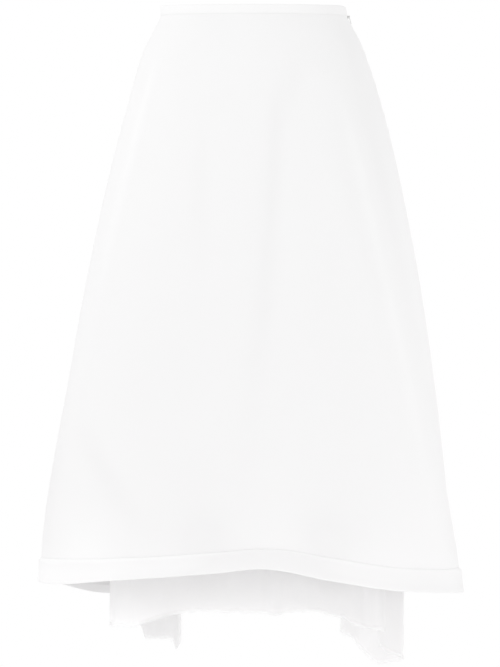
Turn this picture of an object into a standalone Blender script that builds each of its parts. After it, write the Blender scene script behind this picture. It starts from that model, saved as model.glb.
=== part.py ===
"""A white flared midi skirt, hollow as it hangs on a wearer.

The cloth is modelled as walls at real size, in metres, with +Z up and the centre front facing -Y.
The origin is the centre of the waist. A place on the skirt is given by its turn, in degrees round the
body from centre front (0) over the side with the zip (90, at +X) to centre back (180), and by its
drop, in metres below the origin.
"""

import math
from collections import namedtuple

import bmesh
import bpy
from mathutils import Matrix, Vector

MM = 0.001
SEAM_GAP = 0.3 * MM
SIDE_SEAM_ZIP = 90.0
SIDE_SEAM_PLAIN = 270.0

SKIRT_CLOTH = 2.0 * MM
UNDERSKIRT_CLOTH = 1.0 * MM
WAISTBAND_HEIGHT = 13.0 * MM
HEM_BAND_HEIGHT = 30.0 * MM

# The waist's top edge: its mean drop, and how far it dips at centre front and rises at centre back.
WAIST_DROP = 2.0 * MM
WAIST_DIP = 5.5 * MM

PANEL_COLUMNS = 40
PANEL_ROWS = 13
WAISTBAND_COLUMNS = 60
UNDERSKIRT_ROWS = 12
TAIL_ROWS = 2
ROW_BIAS = 1.5
WIDEST_COLUMN = 5.0
SHARP_ANGLE = 40.0

# Half widths to the wearer's right (-X) and left (+X), and depths to the front (-Y) and back (+Y).
Section = namedtuple("Section", "drop minus_x plus_x front back")
SKIRT_SECTIONS = (
    Section(0.0000, 0.1243, 0.1252, 0.0920, 0.0950),
    Section(0.0135, 0.1257, 0.1270, 0.0935, 0.0965),
    Section(0.0270, 0.1315, 0.1335, 0.0985, 0.1020),
    Section(0.0540, 0.1450, 0.1475, 0.1070, 0.1120),
    Section(0.0810, 0.1557, 0.1575, 0.1140, 0.1210),
    Section(0.1360, 0.1710, 0.1748, 0.1250, 0.1350),
    Section(0.1910, 0.1860, 0.1895, 0.1350, 0.1470),
    Section(0.3000, 0.2117, 0.2130, 0.1500, 0.1620),
    Section(0.4090, 0.2336, 0.2325, 0.1640, 0.1730),
    Section(0.5180, 0.2527, 0.2490, 0.1770, 0.1840),
    Section(0.6280, 0.2730, 0.2635, 0.1900, 0.1940),
    Section(0.7090, 0.2855, 0.2745, 0.1990, 0.2020),
    Section(0.7600, 0.2898, 0.2820, 0.2040, 0.2070),
    Section(0.8250, 0.2935, 0.2880, 0.2090, 0.2120),
)
UNDERSKIRT_SECTIONS = (
    Section(0.0000, 0.1216, 0.1225, 0.0893, 0.0923),
    Section(0.0135, 0.1230, 0.1243, 0.0908, 0.0938),
    Section(0.0270, 0.1266, 0.1286, 0.0936, 0.0970),
    Section(0.0540, 0.1380, 0.1405, 0.1000, 0.1050),
    Section(0.1360, 0.1630, 0.1670, 0.1170, 0.1260),
    Section(0.1910, 0.1760, 0.1810, 0.1250, 0.1350),
    Section(0.3000, 0.1910, 0.2010, 0.1360, 0.1460),
    Section(0.4090, 0.1950, 0.2060, 0.1420, 0.1510),
    Section(0.6000, 0.1955, 0.2065, 0.1450, 0.1530),
    Section(0.9200, 0.1950, 0.2060, 0.1460, 0.1530),
)

# A fold is a soft ridge, or a trough where its rise is negative. It starts, is highest and ends at
# these drops, wanders from one turn to the other, and fades out over so many degrees on each side.
Fold = namedtuple("Fold", "start peak end turn_start turn_end before after rise")
PAST_HEM = 1.30
SKIRT_FOLDS = (
    Fold(0.060, 0.560, PAST_HEM, 25.0, 95.0, 12.0, 10.0, 0.0080),
    Fold(0.080, 0.600, PAST_HEM, 50.0, 130.0, 9.0, 9.0, -0.0040),
    Fold(0.080, 0.450, 0.950, -58.0, -76.0, 10.0, 9.0, 0.0055),
    Fold(0.060, 0.480, 0.820, 18.0, -6.0, 9.0, 9.0, -0.0060),
    Fold(0.150, 0.300, 0.480, -22.0, -17.0, 8.0, 8.0, -0.0025),
    Fold(0.540, 0.640, 0.740, -62.0, -26.0, 6.0, 6.0, -0.0040),
    Fold(0.560, 0.760, PAST_HEM, 5.0, 2.0, 9.0, 10.0, 0.0060),
    Fold(0.600, 0.745, 0.900, -12.0, -18.0, 7.0, 7.0, -0.0055),
    Fold(0.600, 0.750, PAST_HEM, 24.0, 34.0, 10.0, 13.0, -0.0085),
    Fold(0.200, 0.780, PAST_HEM, 183.0, 178.0, 13.0, 12.0, -0.0080),
    Fold(0.250, 0.780, PAST_HEM, 152.0, 143.0, 11.0, 12.0, 0.0075),
    Fold(0.230, 0.780, PAST_HEM, 213.0, 226.0, 12.0, 11.0, 0.0070),
    Fold(0.350, 0.780, PAST_HEM, 119.0, 112.0, 9.0, 9.0, -0.0040),
    Fold(0.330, 0.780, PAST_HEM, 245.0, 252.0, 9.0, 9.0, -0.0045),
)
UNDERSKIRT_FOLDS = (
    Fold(0.330, 0.740, PAST_HEM, 66.0, 70.0, 5.0, 11.0, -0.0270),
    Fold(0.420, 0.780, PAST_HEM, 54.0, 58.0, 4.5, 3.5, 0.0050),
    Fold(0.550, 0.800, PAST_HEM, 6.5, 8.0, 2.6, 2.6, 0.0050),
    Fold(0.400, 0.780, PAST_HEM, -24.0, -30.0, 8.0, 8.0, -0.0050),
    Fold(0.450, 0.800, PAST_HEM, 30.0, 36.0, 7.0, 6.0, -0.0050),
    Fold(0.400, 0.800, PAST_HEM, 158.0, 154.0, 8.0, 8.0, 0.0060),
    Fold(0.420, 0.800, PAST_HEM, 178.0, 182.0, 9.0, 9.0, -0.0070),
    Fold(0.400, 0.800, PAST_HEM, 203.0, 205.0, 7.0, 7.0, 0.0055),
    Fold(0.420, 0.800, PAST_HEM, 124.0, 119.0, 7.0, 8.0, -0.0060),
    Fold(0.450, 0.800, PAST_HEM, 238.0, 243.0, 8.0, 7.0, -0.0050),
)

# Lower edges, as the drop at each turn.
Edge = namedtuple("Edge", "turn drop")
SKIRT_HEM = (
    Edge(-90.0, 0.7880),
    Edge(-60.0, 0.7842),
    Edge(-41.0, 0.7766),
    Edge(-10.0, 0.7640),
    Edge(2.0, 0.7578),
    Edge(21.0, 0.7744),
    Edge(45.0, 0.7916),
    Edge(90.0, 0.8025),
    Edge(133.0, 0.8110),
    Edge(180.0, 0.8230),
    Edge(223.0, 0.8150),
    Edge(250.0, 0.7950),
    Edge(270.0, 0.7880),
)
UNDERSKIRT_FRONT_HEM = (
    Edge(-90.0, 0.8456),
    Edge(-54.0, 0.8422),
    Edge(-43.0, 0.8325),
    Edge(-33.0, 0.8245),
    Edge(-19.0, 0.8193),
    Edge(2.7, 0.8207),
    Edge(8.2, 0.8236),
    Edge(14.2, 0.8198),
    Edge(22.0, 0.8190),
    Edge(30.6, 0.8256),
    Edge(36.2, 0.8295),
    Edge(41.0, 0.8388),
    Edge(53.2, 0.8473),
    Edge(68.0, 0.8530),
)
# The raw-edged tail behind the zip side, the short middle and the tail on the other side.
UNDERSKIRT_ZIP_TAIL = (
    Edge(68.0, 0.8740),
    Edge(78.0, 0.8860),
    Edge(90.0, 0.8930),
    Edge(112.0, 0.9030),
    Edge(119.7, 0.9056),
    Edge(125.8, 0.9013),
    Edge(133.3, 0.8880),
    Edge(138.3, 0.8735),
    Edge(143.7, 0.8665),
)
UNDERSKIRT_MIDDLE_BACK = (
    Edge(143.7, 0.8260),
    Edge(165.0, 0.8290),
    Edge(188.0, 0.8250),
    Edge(210.9, 0.8260),
)
UNDERSKIRT_FAR_TAIL = (
    Edge(210.9, 0.8805),
    Edge(213.6, 0.8915),
    Edge(215.4, 0.8775),
    Edge(223.0, 0.8755),
    Edge(230.6, 0.8735),
    Edge(234.0, 0.8560),
    Edge(240.0, 0.8480),
    Edge(270.0, 0.8456),
)
TAIL_START = 0.8260
UNDERSKIRT_TOP = 9.5 * MM

# Cross-sections of the bands, as distances outwards from the panel's surface and downwards.
Corner = namedtuple("Corner", "out down")
WAISTBAND_PROFILE = (
    Corner(-1.9 * MM, 0.8 * MM),
    Corner(-0.9 * MM, 0.0 * MM),
    Corner(0.3 * MM, 0.1 * MM),
    Corner(1.1 * MM, 1.1 * MM),
    Corner(1.5 * MM, 5.0 * MM),
    Corner(1.4 * MM, 9.5 * MM),
    Corner(0.9 * MM, 12.3 * MM),
    Corner(0.2 * MM, 13.0 * MM),
    Corner(-1.7 * MM, 13.0 * MM),
    Corner(-2.1 * MM, 12.0 * MM),
    Corner(-2.1 * MM, 5.0 * MM),
)
HEM_BAND_PROFILE = (
    Corner(0.3 * MM, -30.0 * MM),
    Corner(1.5 * MM, -30.6 * MM),
    Corner(2.6 * MM, -29.6 * MM),
    Corner(2.6 * MM, -26.0 * MM),
    Corner(2.2 * MM, -15.0 * MM),
    Corner(2.5 * MM, -4.0 * MM),
    Corner(2.3 * MM, -0.6 * MM),
    Corner(1.4 * MM, 0.3 * MM),
    Corner(0.3 * MM, 0.0 * MM),
    Corner(0.3 * MM, -15.0 * MM),
)

# The zip's slider sits on the side seam just under the waistband, and its pull tab hangs from it.
SLIDER_DROP = 0.0176
SLIDER_LENGTH = 4.4 * MM
SLIDER_WIDTH = 4.6 * MM
SLIDER_THICKNESS = 1.2 * MM
SLIDER_OFF_CLOTH = 0.35 * MM
SLIDER_BEVEL = 0.35 * MM
EAR_THICKNESS = 0.9 * MM
EAR_LENGTH = 2.0 * MM
EAR_INSET = 0.05 * MM
PIN_RADIUS = 0.45 * MM
PIN_HEIGHT = 3.1 * MM
PIN_SIDES = 16
TAB_LENGTH = 11.0 * MM
TAB_EYE_RADIUS = 1.15 * MM
TAB_HOLE_RADIUS = 0.68 * MM
TAB_SIDES = 10
TAB_OFF_CLOTH = 0.35 * MM
# The share of the pull tab's length at which it lies closest to the cloth.
TAB_REST_SHARE = 0.95
# Half widths of the pull tab at shares of its length.
Station = namedtuple("Station", "share half_width")
TAB_STATIONS = (
    Station(0.00, 1.0 * MM),
    Station(0.20, 0.9 * MM),
    Station(0.40, 1.1 * MM),
    Station(0.62, 1.5 * MM),
    Station(0.80, 1.7 * MM),
    Station(0.91, 1.55 * MM),
    Station(0.97, 1.15 * MM),
    Station(1.00, 0.6 * MM),
)

Finish = namedtuple("Finish", "colour roughness metallic")
SKIRT_WHITE = Finish((0.93, 0.93, 0.93, 1.0), 0.80, 0.0)
UNDERSKIRT_WHITE = Finish((0.88, 0.88, 0.88, 1.0), 0.85, 0.0)
ZIP_METAL = Finish((0.62, 0.62, 0.61, 1.0), 0.35, 1.0)


def clear_scene():
    for thing in list(bpy.data.objects):
        bpy.data.objects.remove(thing, do_unlink=True)


def material_of(name, finish):
    material = bpy.data.materials.new(name)
    material.use_nodes = True
    shader = material.node_tree.nodes["Principled BSDF"]
    shader.inputs["Base Color"].default_value = finish.colour
    shader.inputs["Roughness"].default_value = finish.roughness
    shader.inputs["Metallic"].default_value = finish.metallic
    material.diffuse_color = finish.colour
    return material


def smooth_curve(knots, values):
    """A function through the values that never overshoots them, level beyond the first and last knot."""
    steps = [b - a for a, b in zip(knots, knots[1:])]
    rates = [(b - a) / step for a, b, step in zip(values, values[1:], steps)]
    slopes = [rates[0]]
    for k in range(1, len(rates)):
        before, after = rates[k - 1], rates[k]
        if before * after <= 0:
            slopes.append(0.0)
            continue
        total = steps[k - 1] + steps[k]
        slopes.append(3 * total / ((total + steps[k]) / before + (total + steps[k - 1]) / after))
    slopes.append(rates[-1])

    def value_at(at):
        if at <= knots[0]:
            return values[0]
        if at >= knots[-1]:
            return values[-1]
        k = max(i for i, knot in enumerate(knots[:-1]) if knot <= at)
        t = (at - knots[k]) / steps[k]
        rise = values[k + 1] - values[k]
        bend_in = slopes[k] * steps[k] - rise
        bend_out = rise - slopes[k + 1] * steps[k]
        return values[k] + t * rise + t * (1 - t) * ((1 - t) * bend_in + t * bend_out)

    return value_at


def edge_curve(rows):
    return smooth_curve([row.turn for row in rows], [row.drop for row in rows])


def ramp(share):
    share = min(max(share, 0.0), 1.0)
    return share * share * (3 - 2 * share)


def fold_height(fold, turn, drop):
    """How far one fold moves the cloth outwards at a place."""
    if not fold.start < drop < fold.end:
        return 0.0
    along = (drop - fold.start) / (fold.end - fold.start)
    centre = fold.turn_start + along * (fold.turn_end - fold.turn_start)
    away = (turn - centre + 180) % 360 - 180
    width = fold.before if away < 0 else fold.after
    if drop < fold.peak:
        strength = ramp((drop - fold.start) / (fold.peak - fold.start))
    else:
        strength = ramp((fold.end - drop) / (fold.end - fold.peak))
    return fold.rise * strength * math.exp(-((away / width) ** 2))


class Surface:
    """The outer face of a tube of cloth, from its sections and folds."""

    def __init__(self, sections, folds):
        drops = [row.drop for row in sections]
        self.minus_x = smooth_curve(drops, [row.minus_x for row in sections])
        self.plus_x = smooth_curve(drops, [row.plus_x for row in sections])
        self.front = smooth_curve(drops, [row.front for row in sections])
        self.back = smooth_curve(drops, [row.back for row in sections])
        self.folds = folds

    def point(self, turn, drop):
        angle = math.radians(turn)
        sine, cosine = math.sin(angle), math.cos(angle)
        across = self.plus_x(drop) if sine >= 0 else self.minus_x(drop)
        deep = self.front(drop) if cosine >= 0 else self.back(drop)
        outwards = Vector((deep * sine, -across * cosine, 0)).normalized()
        bulge = sum(fold_height(fold, turn, drop) for fold in self.folds)
        return Vector((across * sine, -deep * cosine, -drop)) + bulge * outwards

    def along(self, turn, drop):
        """The direction of growing turn."""
        step = 0.2
        return (self.point(turn + step, drop) - self.point(turn - step, drop)).normalized()

    def normal(self, turn, drop):
        step = 1.0 * MM
        down = self.point(turn, drop + step) - self.point(turn, drop - step)
        return down.cross(self.along(turn, drop)).normalized()

    def moved_out(self, turn, drop, distance):
        return self.point(turn, drop) + distance * self.normal(turn, drop)


def waist_top(turn):
    return WAIST_DROP + WAIST_DIP * math.cos(math.radians(turn))


def spread(first, last, count):
    """Evenly spaced values, both ends included."""
    return [first + (last - first) * k / count for k in range(count + 1)]


def rows_between(top, bottom, count):
    """Rows down the cloth, closer together near the waist, where it curves most."""
    return [top + (bottom - top) * (k / count) ** ROW_BIAS for k in range(count + 1)]


def add_object(name, bm, material):
    bmesh.ops.recalc_face_normals(bm, faces=bm.faces)
    mesh = bpy.data.meshes.new(name)
    bm.to_mesh(mesh)
    bm.free()
    mesh.materials.append(material)
    mesh.shade_smooth()
    mesh.set_sharp_from_angle(angle=math.radians(SHARP_ANGLE))
    made = bpy.data.objects.new(name, mesh)
    bpy.context.scene.collection.objects.link(made)
    return made


def cloth_wall(name, surface, columns, thickness, material):
    """A closed wall of cloth. Each column is a turn with the drops of its rows, top to bottom, and a
    drop of None leaves the cloth out there. The two end columns keep half a seam's gap.
    """
    bm = bmesh.new()
    outer, inner = {}, {}
    for i, (turn, drops) in enumerate(columns):
        for j, drop in enumerate(drops):
            if drop is None:
                continue
            place = surface.point(turn, drop)
            if i == 0:
                place += surface.along(turn, drop) * SEAM_GAP / 2
            if i == len(columns) - 1:
                place -= surface.along(turn, drop) * SEAM_GAP / 2
            outer[i, j] = bm.verts.new(place)
            inner[i, j] = bm.verts.new(place - thickness * surface.normal(turn, drop))
    edges = set()
    for i, j in outer:
        corners = [(i, j), (i, j + 1), (i + 1, j + 1), (i + 1, j)]
        if not all(corner in outer for corner in corners):
            continue
        bm.faces.new([outer[corner] for corner in corners])
        bm.faces.new([inner[corner] for corner in reversed(corners)])
        for start, end in zip(corners, corners[1:] + corners[:1]):
            edges.add((start, end))
    for start, end in edges:
        if (end, start) not in edges:
            bm.faces.new([outer[end], outer[start], inner[start], inner[end]])
    return add_object(name, bm, material)


def swept_band(name, surface, turns, base, profile, material):
    """A band whose cross-section follows the surface along its base line."""
    bm = bmesh.new()
    rings = []
    for k, turn in enumerate(turns):
        ring = []
        for corner in profile:
            drop = base(turn) + corner.down
            place = surface.moved_out(turn, drop, corner.out)
            if k == 0:
                place += surface.along(turn, drop) * SEAM_GAP / 2
            if k == len(turns) - 1:
                place -= surface.along(turn, drop) * SEAM_GAP / 2
            ring.append(bm.verts.new(place))
        rings.append(ring)
    count = len(profile)
    for ring, following in zip(rings, rings[1:]):
        for c in range(count):
            d = (c + 1) % count
            bm.faces.new([ring[c], ring[d], following[d], following[c]])
    bm.faces.new(rings[0])
    bm.faces.new(rings[-1][::-1])
    return add_object(name, bm, material)


def panel_columns(first, last, hem):
    """Columns of a skirt panel: even rows down to the hem band, then two rows behind it."""
    columns = []
    for turn in spread(first, last, PANEL_COLUMNS):
        top = waist_top(turn) + WAISTBAND_HEIGHT + SEAM_GAP
        bottom = hem(turn)
        drops = rows_between(top, bottom - HEM_BAND_HEIGHT, PANEL_ROWS)
        drops.append(bottom - HEM_BAND_HEIGHT / 2)
        drops.append(bottom)
        columns.append((turn, drops))
    return columns


def make_skirt(skirt, material):
    hem_front = edge_curve(SKIRT_HEM)

    def hem(turn):
        return hem_front(turn if turn >= -90 else turn + 360)

    spans = (
        ("front", SIDE_SEAM_PLAIN - 360, SIDE_SEAM_ZIP),
        ("back", SIDE_SEAM_ZIP, SIDE_SEAM_PLAIN),
    )
    for side, first, last in spans:
        cloth_wall(f"{side}_panel", skirt, panel_columns(first, last, hem), SKIRT_CLOTH, material)
        turns = spread(first, last, PANEL_COLUMNS)
        swept_band(f"hem_band_{side}", skirt, turns, hem, HEM_BAND_PROFILE, material)
    turns = spread(SIDE_SEAM_ZIP, SIDE_SEAM_ZIP + 360, WAISTBAND_COLUMNS)
    swept_band("waistband", skirt, turns, waist_top, WAISTBAND_PROFILE, material)


def turns_through(rows, widest):
    """The rows' own turns, with more between them wherever they lie further apart than this."""
    turns = [rows[0].turn]
    for a, b in zip(rows, rows[1:]):
        count = max(1, math.ceil((b.turn - a.turn) / widest))
        turns += spread(a.turn, b.turn, count)[1:]
    return turns


def underskirt_drops(turn, bottom, tail_bottom=None):
    """The rows of one column, and those of the tail that hangs below it, if there is one."""
    top = waist_top(turn) + UNDERSKIRT_TOP
    drops = rows_between(top, bottom, UNDERSKIRT_ROWS)
    if tail_bottom is None:
        return drops + [None] * TAIL_ROWS
    return drops + spread(bottom, tail_bottom, TAIL_ROWS)[1:]


def make_underskirt(underskirt, material):
    hem = edge_curve(UNDERSKIRT_FRONT_HEM)
    columns = []
    for turn in turns_through(UNDERSKIRT_FRONT_HEM, WIDEST_COLUMN):
        columns.append((turn, underskirt_drops(turn, hem(turn))))
    cloth_wall("underskirt_front", underskirt, columns, UNDERSKIRT_CLOTH, material)

    columns = []
    zip_tail = edge_curve(UNDERSKIRT_ZIP_TAIL)
    for turn in turns_through(UNDERSKIRT_ZIP_TAIL, WIDEST_COLUMN):
        columns.append((turn, underskirt_drops(turn, TAIL_START, zip_tail(turn))))
    middle = edge_curve(UNDERSKIRT_MIDDLE_BACK)
    for turn in turns_through(UNDERSKIRT_MIDDLE_BACK, WIDEST_COLUMN)[1:-1]:
        columns.append((turn, underskirt_drops(turn, middle(turn))))
    far_tail = edge_curve(UNDERSKIRT_FAR_TAIL)
    for turn in turns_through(UNDERSKIRT_FAR_TAIL, WIDEST_COLUMN):
        columns.append((turn, underskirt_drops(turn, TAIL_START, far_tail(turn))))
    cloth_wall("underskirt_back", underskirt, columns, UNDERSKIRT_CLOTH, material)


def seat_on_seam(skirt, drop):
    """A frame on the zip's seam: X points out of the cloth, Y along the waist, Z up the seam."""
    place = skirt.point(SIDE_SEAM_ZIP, drop)
    out = skirt.normal(SIDE_SEAM_ZIP, drop)
    out.y = 0
    out.normalize()
    along = Vector((0, 1, 0))
    frame = Matrix((out, along, out.cross(along))).transposed().to_4x4()
    frame.translation = place
    return frame


def box_mesh(size, centre):
    bm = bmesh.new()
    bmesh.ops.create_cube(bm, size=1.0)
    bmesh.ops.scale(bm, verts=bm.verts, vec=size)
    bmesh.ops.translate(bm, verts=bm.verts, vec=centre)
    return bm


def joined_by_boolean(body, name, bm, material):
    """Adds a hidden helper with this mesh, and joins its shape to the body."""
    helper = add_object(name, bm, material)
    helper.matrix_world = body.matrix_world
    helper.hide_render = True
    helper.display_type = "WIRE"
    union = body.modifiers.new(name, "BOOLEAN")
    union.operation = "UNION"
    union.object = helper


def make_zip_slider(seat, material):
    centre = Vector((SLIDER_OFF_CLOTH + SLIDER_THICKNESS / 2, 0, 0))
    bm = box_mesh((SLIDER_THICKNESS, SLIDER_WIDTH, SLIDER_LENGTH), centre)
    upright = [edge for edge in bm.edges if abs(edge.verts[0].co.x - edge.verts[1].co.x) > MM]
    bmesh.ops.bevel(bm, geom=upright, offset=SLIDER_BEVEL, segments=2, affect="EDGES", profile=0.5)
    slider = add_object("zip_slider", bm, material)
    slider.matrix_world = seat
    base = SLIDER_OFF_CLOTH + SLIDER_THICKNESS / 2
    top = PIN_HEIGHT + PIN_RADIUS + SLIDER_BEVEL
    for name, side in (("slider_ear_front", -1), ("slider_ear_back", 1)):
        middle = side * ((SLIDER_WIDTH - EAR_THICKNESS) / 2 - EAR_INSET)
        centre = Vector(((base + top) / 2, middle, 0))
        bm = box_mesh((top - base, EAR_THICKNESS, EAR_LENGTH), centre)
        joined_by_boolean(slider, name, bm, material)
    bm = bmesh.new()
    bmesh.ops.create_cone(
        bm,
        cap_ends=True,
        segments=PIN_SIDES,
        radius1=PIN_RADIUS,
        radius2=PIN_RADIUS,
        depth=SLIDER_WIDTH - EAR_THICKNESS,
        matrix=Matrix.Translation((PIN_HEIGHT, 0, 0)) @ Matrix.Rotation(math.radians(90), 4, "X"),
    )
    joined_by_boolean(slider, "slider_pin", bm, material)


def make_pull_tab(skirt, seat, material):
    """An eye round the slider's pin, drawn out into a flat tab that lies down on the cloth."""
    pin = seat @ Vector((PIN_HEIGHT, 0, 0))
    half_step = math.pi / TAB_SIDES
    half_thickness = TAB_EYE_RADIUS * math.sin(half_step)
    tip_drop = -pin.z + TAB_LENGTH * TAB_REST_SHARE
    cloth = skirt.point(SIDE_SEAM_ZIP, tip_drop)
    clear = (TAB_OFF_CLOTH + half_thickness) * skirt.normal(SIDE_SEAM_ZIP, tip_drop)
    down = cloth + clear - pin
    down.y = 0
    down.normalize()
    side = Vector((0, 1, 0))
    out = side.cross(-down)
    bm = bmesh.new()
    faces = []
    for sign in (-1, 1):
        width = sign * TAB_STATIONS[0].half_width
        rim, hole = [], []
        for k in range(TAB_SIDES):
            angle = half_step * (2 * k + 1)
            ray = math.cos(angle) * down + math.sin(angle) * out
            rim.append(bm.verts.new(TAB_EYE_RADIUS * ray + width * side))
            hole.append(bm.verts.new(TAB_HOLE_RADIUS * ray + width * side))
        start = TAB_EYE_RADIUS * math.cos(half_step)
        strip = [(rim[0], rim[-1])]
        for station in TAB_STATIONS[1:]:
            reach = start + station.share * (TAB_LENGTH - start)
            spine = reach * down + sign * station.half_width * side
            above = bm.verts.new(spine + half_thickness * out)
            below = bm.verts.new(spine - half_thickness * out)
            strip.append((above, below))
        faces.append((rim, hole, strip))
        for k in range(TAB_SIDES):
            following = (k + 1) % TAB_SIDES
            bm.faces.new([rim[k], rim[following], hole[following], hole[k]])
        for (above, below), (next_above, next_below) in zip(strip, strip[1:]):
            bm.faces.new([above, below, next_below, next_above])
    (rim_a, hole_a, strip_a), (rim_b, hole_b, strip_b) = faces
    for k in range(TAB_SIDES):
        following = (k + 1) % TAB_SIDES
        bm.faces.new([hole_a[k], hole_a[following], hole_b[following], hole_b[k]])
        if following:
            bm.faces.new([rim_a[k], rim_a[following], rim_b[following], rim_b[k]])
    for k in range(len(strip_a) - 1):
        for edge in (0, 1):
            bm.faces.new([strip_a[k][edge], strip_a[k + 1][edge], strip_b[k + 1][edge], strip_b[k][edge]])
    bm.faces.new([strip_a[-1][0], strip_a[-1][1], strip_b[-1][1], strip_b[-1][0]])
    tab = add_object("zip_pull_tab", bm, material)
    tab.location = pin


def main():
    clear_scene()
    skirt = Surface(SKIRT_SECTIONS, SKIRT_FOLDS)
    underskirt = Surface(UNDERSKIRT_SECTIONS, UNDERSKIRT_FOLDS)
    make_skirt(skirt, material_of("skirt_cloth", SKIRT_WHITE))
    make_underskirt(underskirt, material_of("underskirt_voile", UNDERSKIRT_WHITE))
    metal = material_of("zip_metal", ZIP_METAL)
    seat = seat_on_seam(skirt, SLIDER_DROP)
    make_zip_slider(seat, metal)
    make_pull_tab(skirt, seat, metal)


main()
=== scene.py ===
"""The looks of a white flared midi skirt with a banded, dipped hem and a raw-edged voile underskirt.

Laid out as a Blender add-on and run as a script. Every size is in metres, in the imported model's own
frame: +Z up, centre front facing -Y, the origin at the centre of the waist. A place on the skirt is
a turn, in degrees from centre front over the zip side, and a drop below the origin.
"""

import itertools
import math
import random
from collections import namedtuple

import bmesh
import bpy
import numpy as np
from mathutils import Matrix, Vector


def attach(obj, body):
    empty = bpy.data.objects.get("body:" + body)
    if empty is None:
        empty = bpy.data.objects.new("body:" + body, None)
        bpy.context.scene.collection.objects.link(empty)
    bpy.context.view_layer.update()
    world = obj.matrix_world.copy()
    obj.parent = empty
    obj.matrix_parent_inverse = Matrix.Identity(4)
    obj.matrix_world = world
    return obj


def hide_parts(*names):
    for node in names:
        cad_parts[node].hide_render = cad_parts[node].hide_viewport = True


bl_info = {
    "name": "Flared skirt with a raw underskirt",
    "version": (1, 0, 0),
    "blender": (4, 5, 0),
    "location": "3D View > Sidebar > Skirt",
    "description": "Builds the cloth, trimmings, finishes and studio of a white flared skirt",
    "category": "Add Mesh",
}

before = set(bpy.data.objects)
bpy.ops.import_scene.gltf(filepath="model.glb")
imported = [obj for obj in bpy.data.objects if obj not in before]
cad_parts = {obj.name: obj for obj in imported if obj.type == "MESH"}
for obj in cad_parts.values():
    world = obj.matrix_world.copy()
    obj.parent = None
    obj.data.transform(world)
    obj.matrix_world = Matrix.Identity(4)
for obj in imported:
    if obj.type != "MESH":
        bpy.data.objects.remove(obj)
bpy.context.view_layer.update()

MM = 0.001
BODY = "skirt"
TAB_BODY = "pull_tab"
ZIP_SEAM = 90.0
PLAIN_SEAM = 270.0
UNDERSKIRT_SEAM = 68.0
PAST_HEM = 1.30

# The cloth's pattern is laid in metres along a circle of this radius.
MEAN_RADIUS = 0.2
# How far up from a raw edge the weave is loosened.
LOOSE_EDGE = 0.007
BLOCK_CORNERS = tuple(itertools.product((-1, 1), repeat=3))
BLOCK_FACES = ((0, 1, 3, 2), (4, 6, 7, 5), (0, 4, 5, 1), (2, 3, 7, 6), (0, 2, 6, 4), (1, 5, 7, 3))

# The waist's top edge: its mean drop, and how far it dips at centre front and rises at the back.
WAIST_DROP = 2.0 * MM
WAIST_DIP = 5.5 * MM
UNDERSKIRT_TOP = 9.5 * MM
TAIL_START = 0.8260

# The photograph's frame: its size in pixels, the skirt's axis and waist in it, and its scale.
PHOTO_WIDTH = 500
PHOTO_HEIGHT = 667
AXIS_PIXEL = 253.0
WAIST_PIXEL = 4.5
METRES_PER_PIXEL = 0.001366

Section = namedtuple("Section", "drop minus_x plus_x front back")
SKIRT_SECTIONS = (
    Section(0.0000, 0.1243, 0.1252, 0.0920, 0.0950),
    Section(0.0135, 0.1257, 0.1270, 0.0935, 0.0965),
    Section(0.0270, 0.1315, 0.1335, 0.0985, 0.1020),
    Section(0.0540, 0.1450, 0.1475, 0.1070, 0.1120),
    Section(0.0810, 0.1557, 0.1575, 0.1140, 0.1210),
    Section(0.1360, 0.1710, 0.1748, 0.1250, 0.1350),
    Section(0.1910, 0.1860, 0.1895, 0.1350, 0.1470),
    Section(0.3000, 0.2117, 0.2130, 0.1500, 0.1620),
    Section(0.4090, 0.2336, 0.2325, 0.1640, 0.1730),
    Section(0.5180, 0.2527, 0.2490, 0.1770, 0.1840),
    Section(0.6280, 0.2730, 0.2635, 0.1900, 0.1940),
    Section(0.7090, 0.2855, 0.2745, 0.1990, 0.2020),
    Section(0.7600, 0.2898, 0.2820, 0.2040, 0.2070),
    Section(0.8250, 0.2935, 0.2880, 0.2090, 0.2120),
)
UNDERSKIRT_SECTIONS = (
    Section(0.0000, 0.1216, 0.1225, 0.0893, 0.0923),
    Section(0.0135, 0.1230, 0.1243, 0.0908, 0.0938),
    Section(0.0270, 0.1266, 0.1286, 0.0936, 0.0970),
    Section(0.0540, 0.1380, 0.1405, 0.1000, 0.1050),
    Section(0.1360, 0.1630, 0.1670, 0.1170, 0.1260),
    Section(0.1910, 0.1760, 0.1810, 0.1250, 0.1350),
    Section(0.3000, 0.1910, 0.2010, 0.1360, 0.1460),
    Section(0.4090, 0.1950, 0.2060, 0.1420, 0.1510),
    Section(0.6000, 0.1955, 0.2065, 0.1450, 0.1530),
    Section(0.9200, 0.1950, 0.2060, 0.1460, 0.1530),
)

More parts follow.
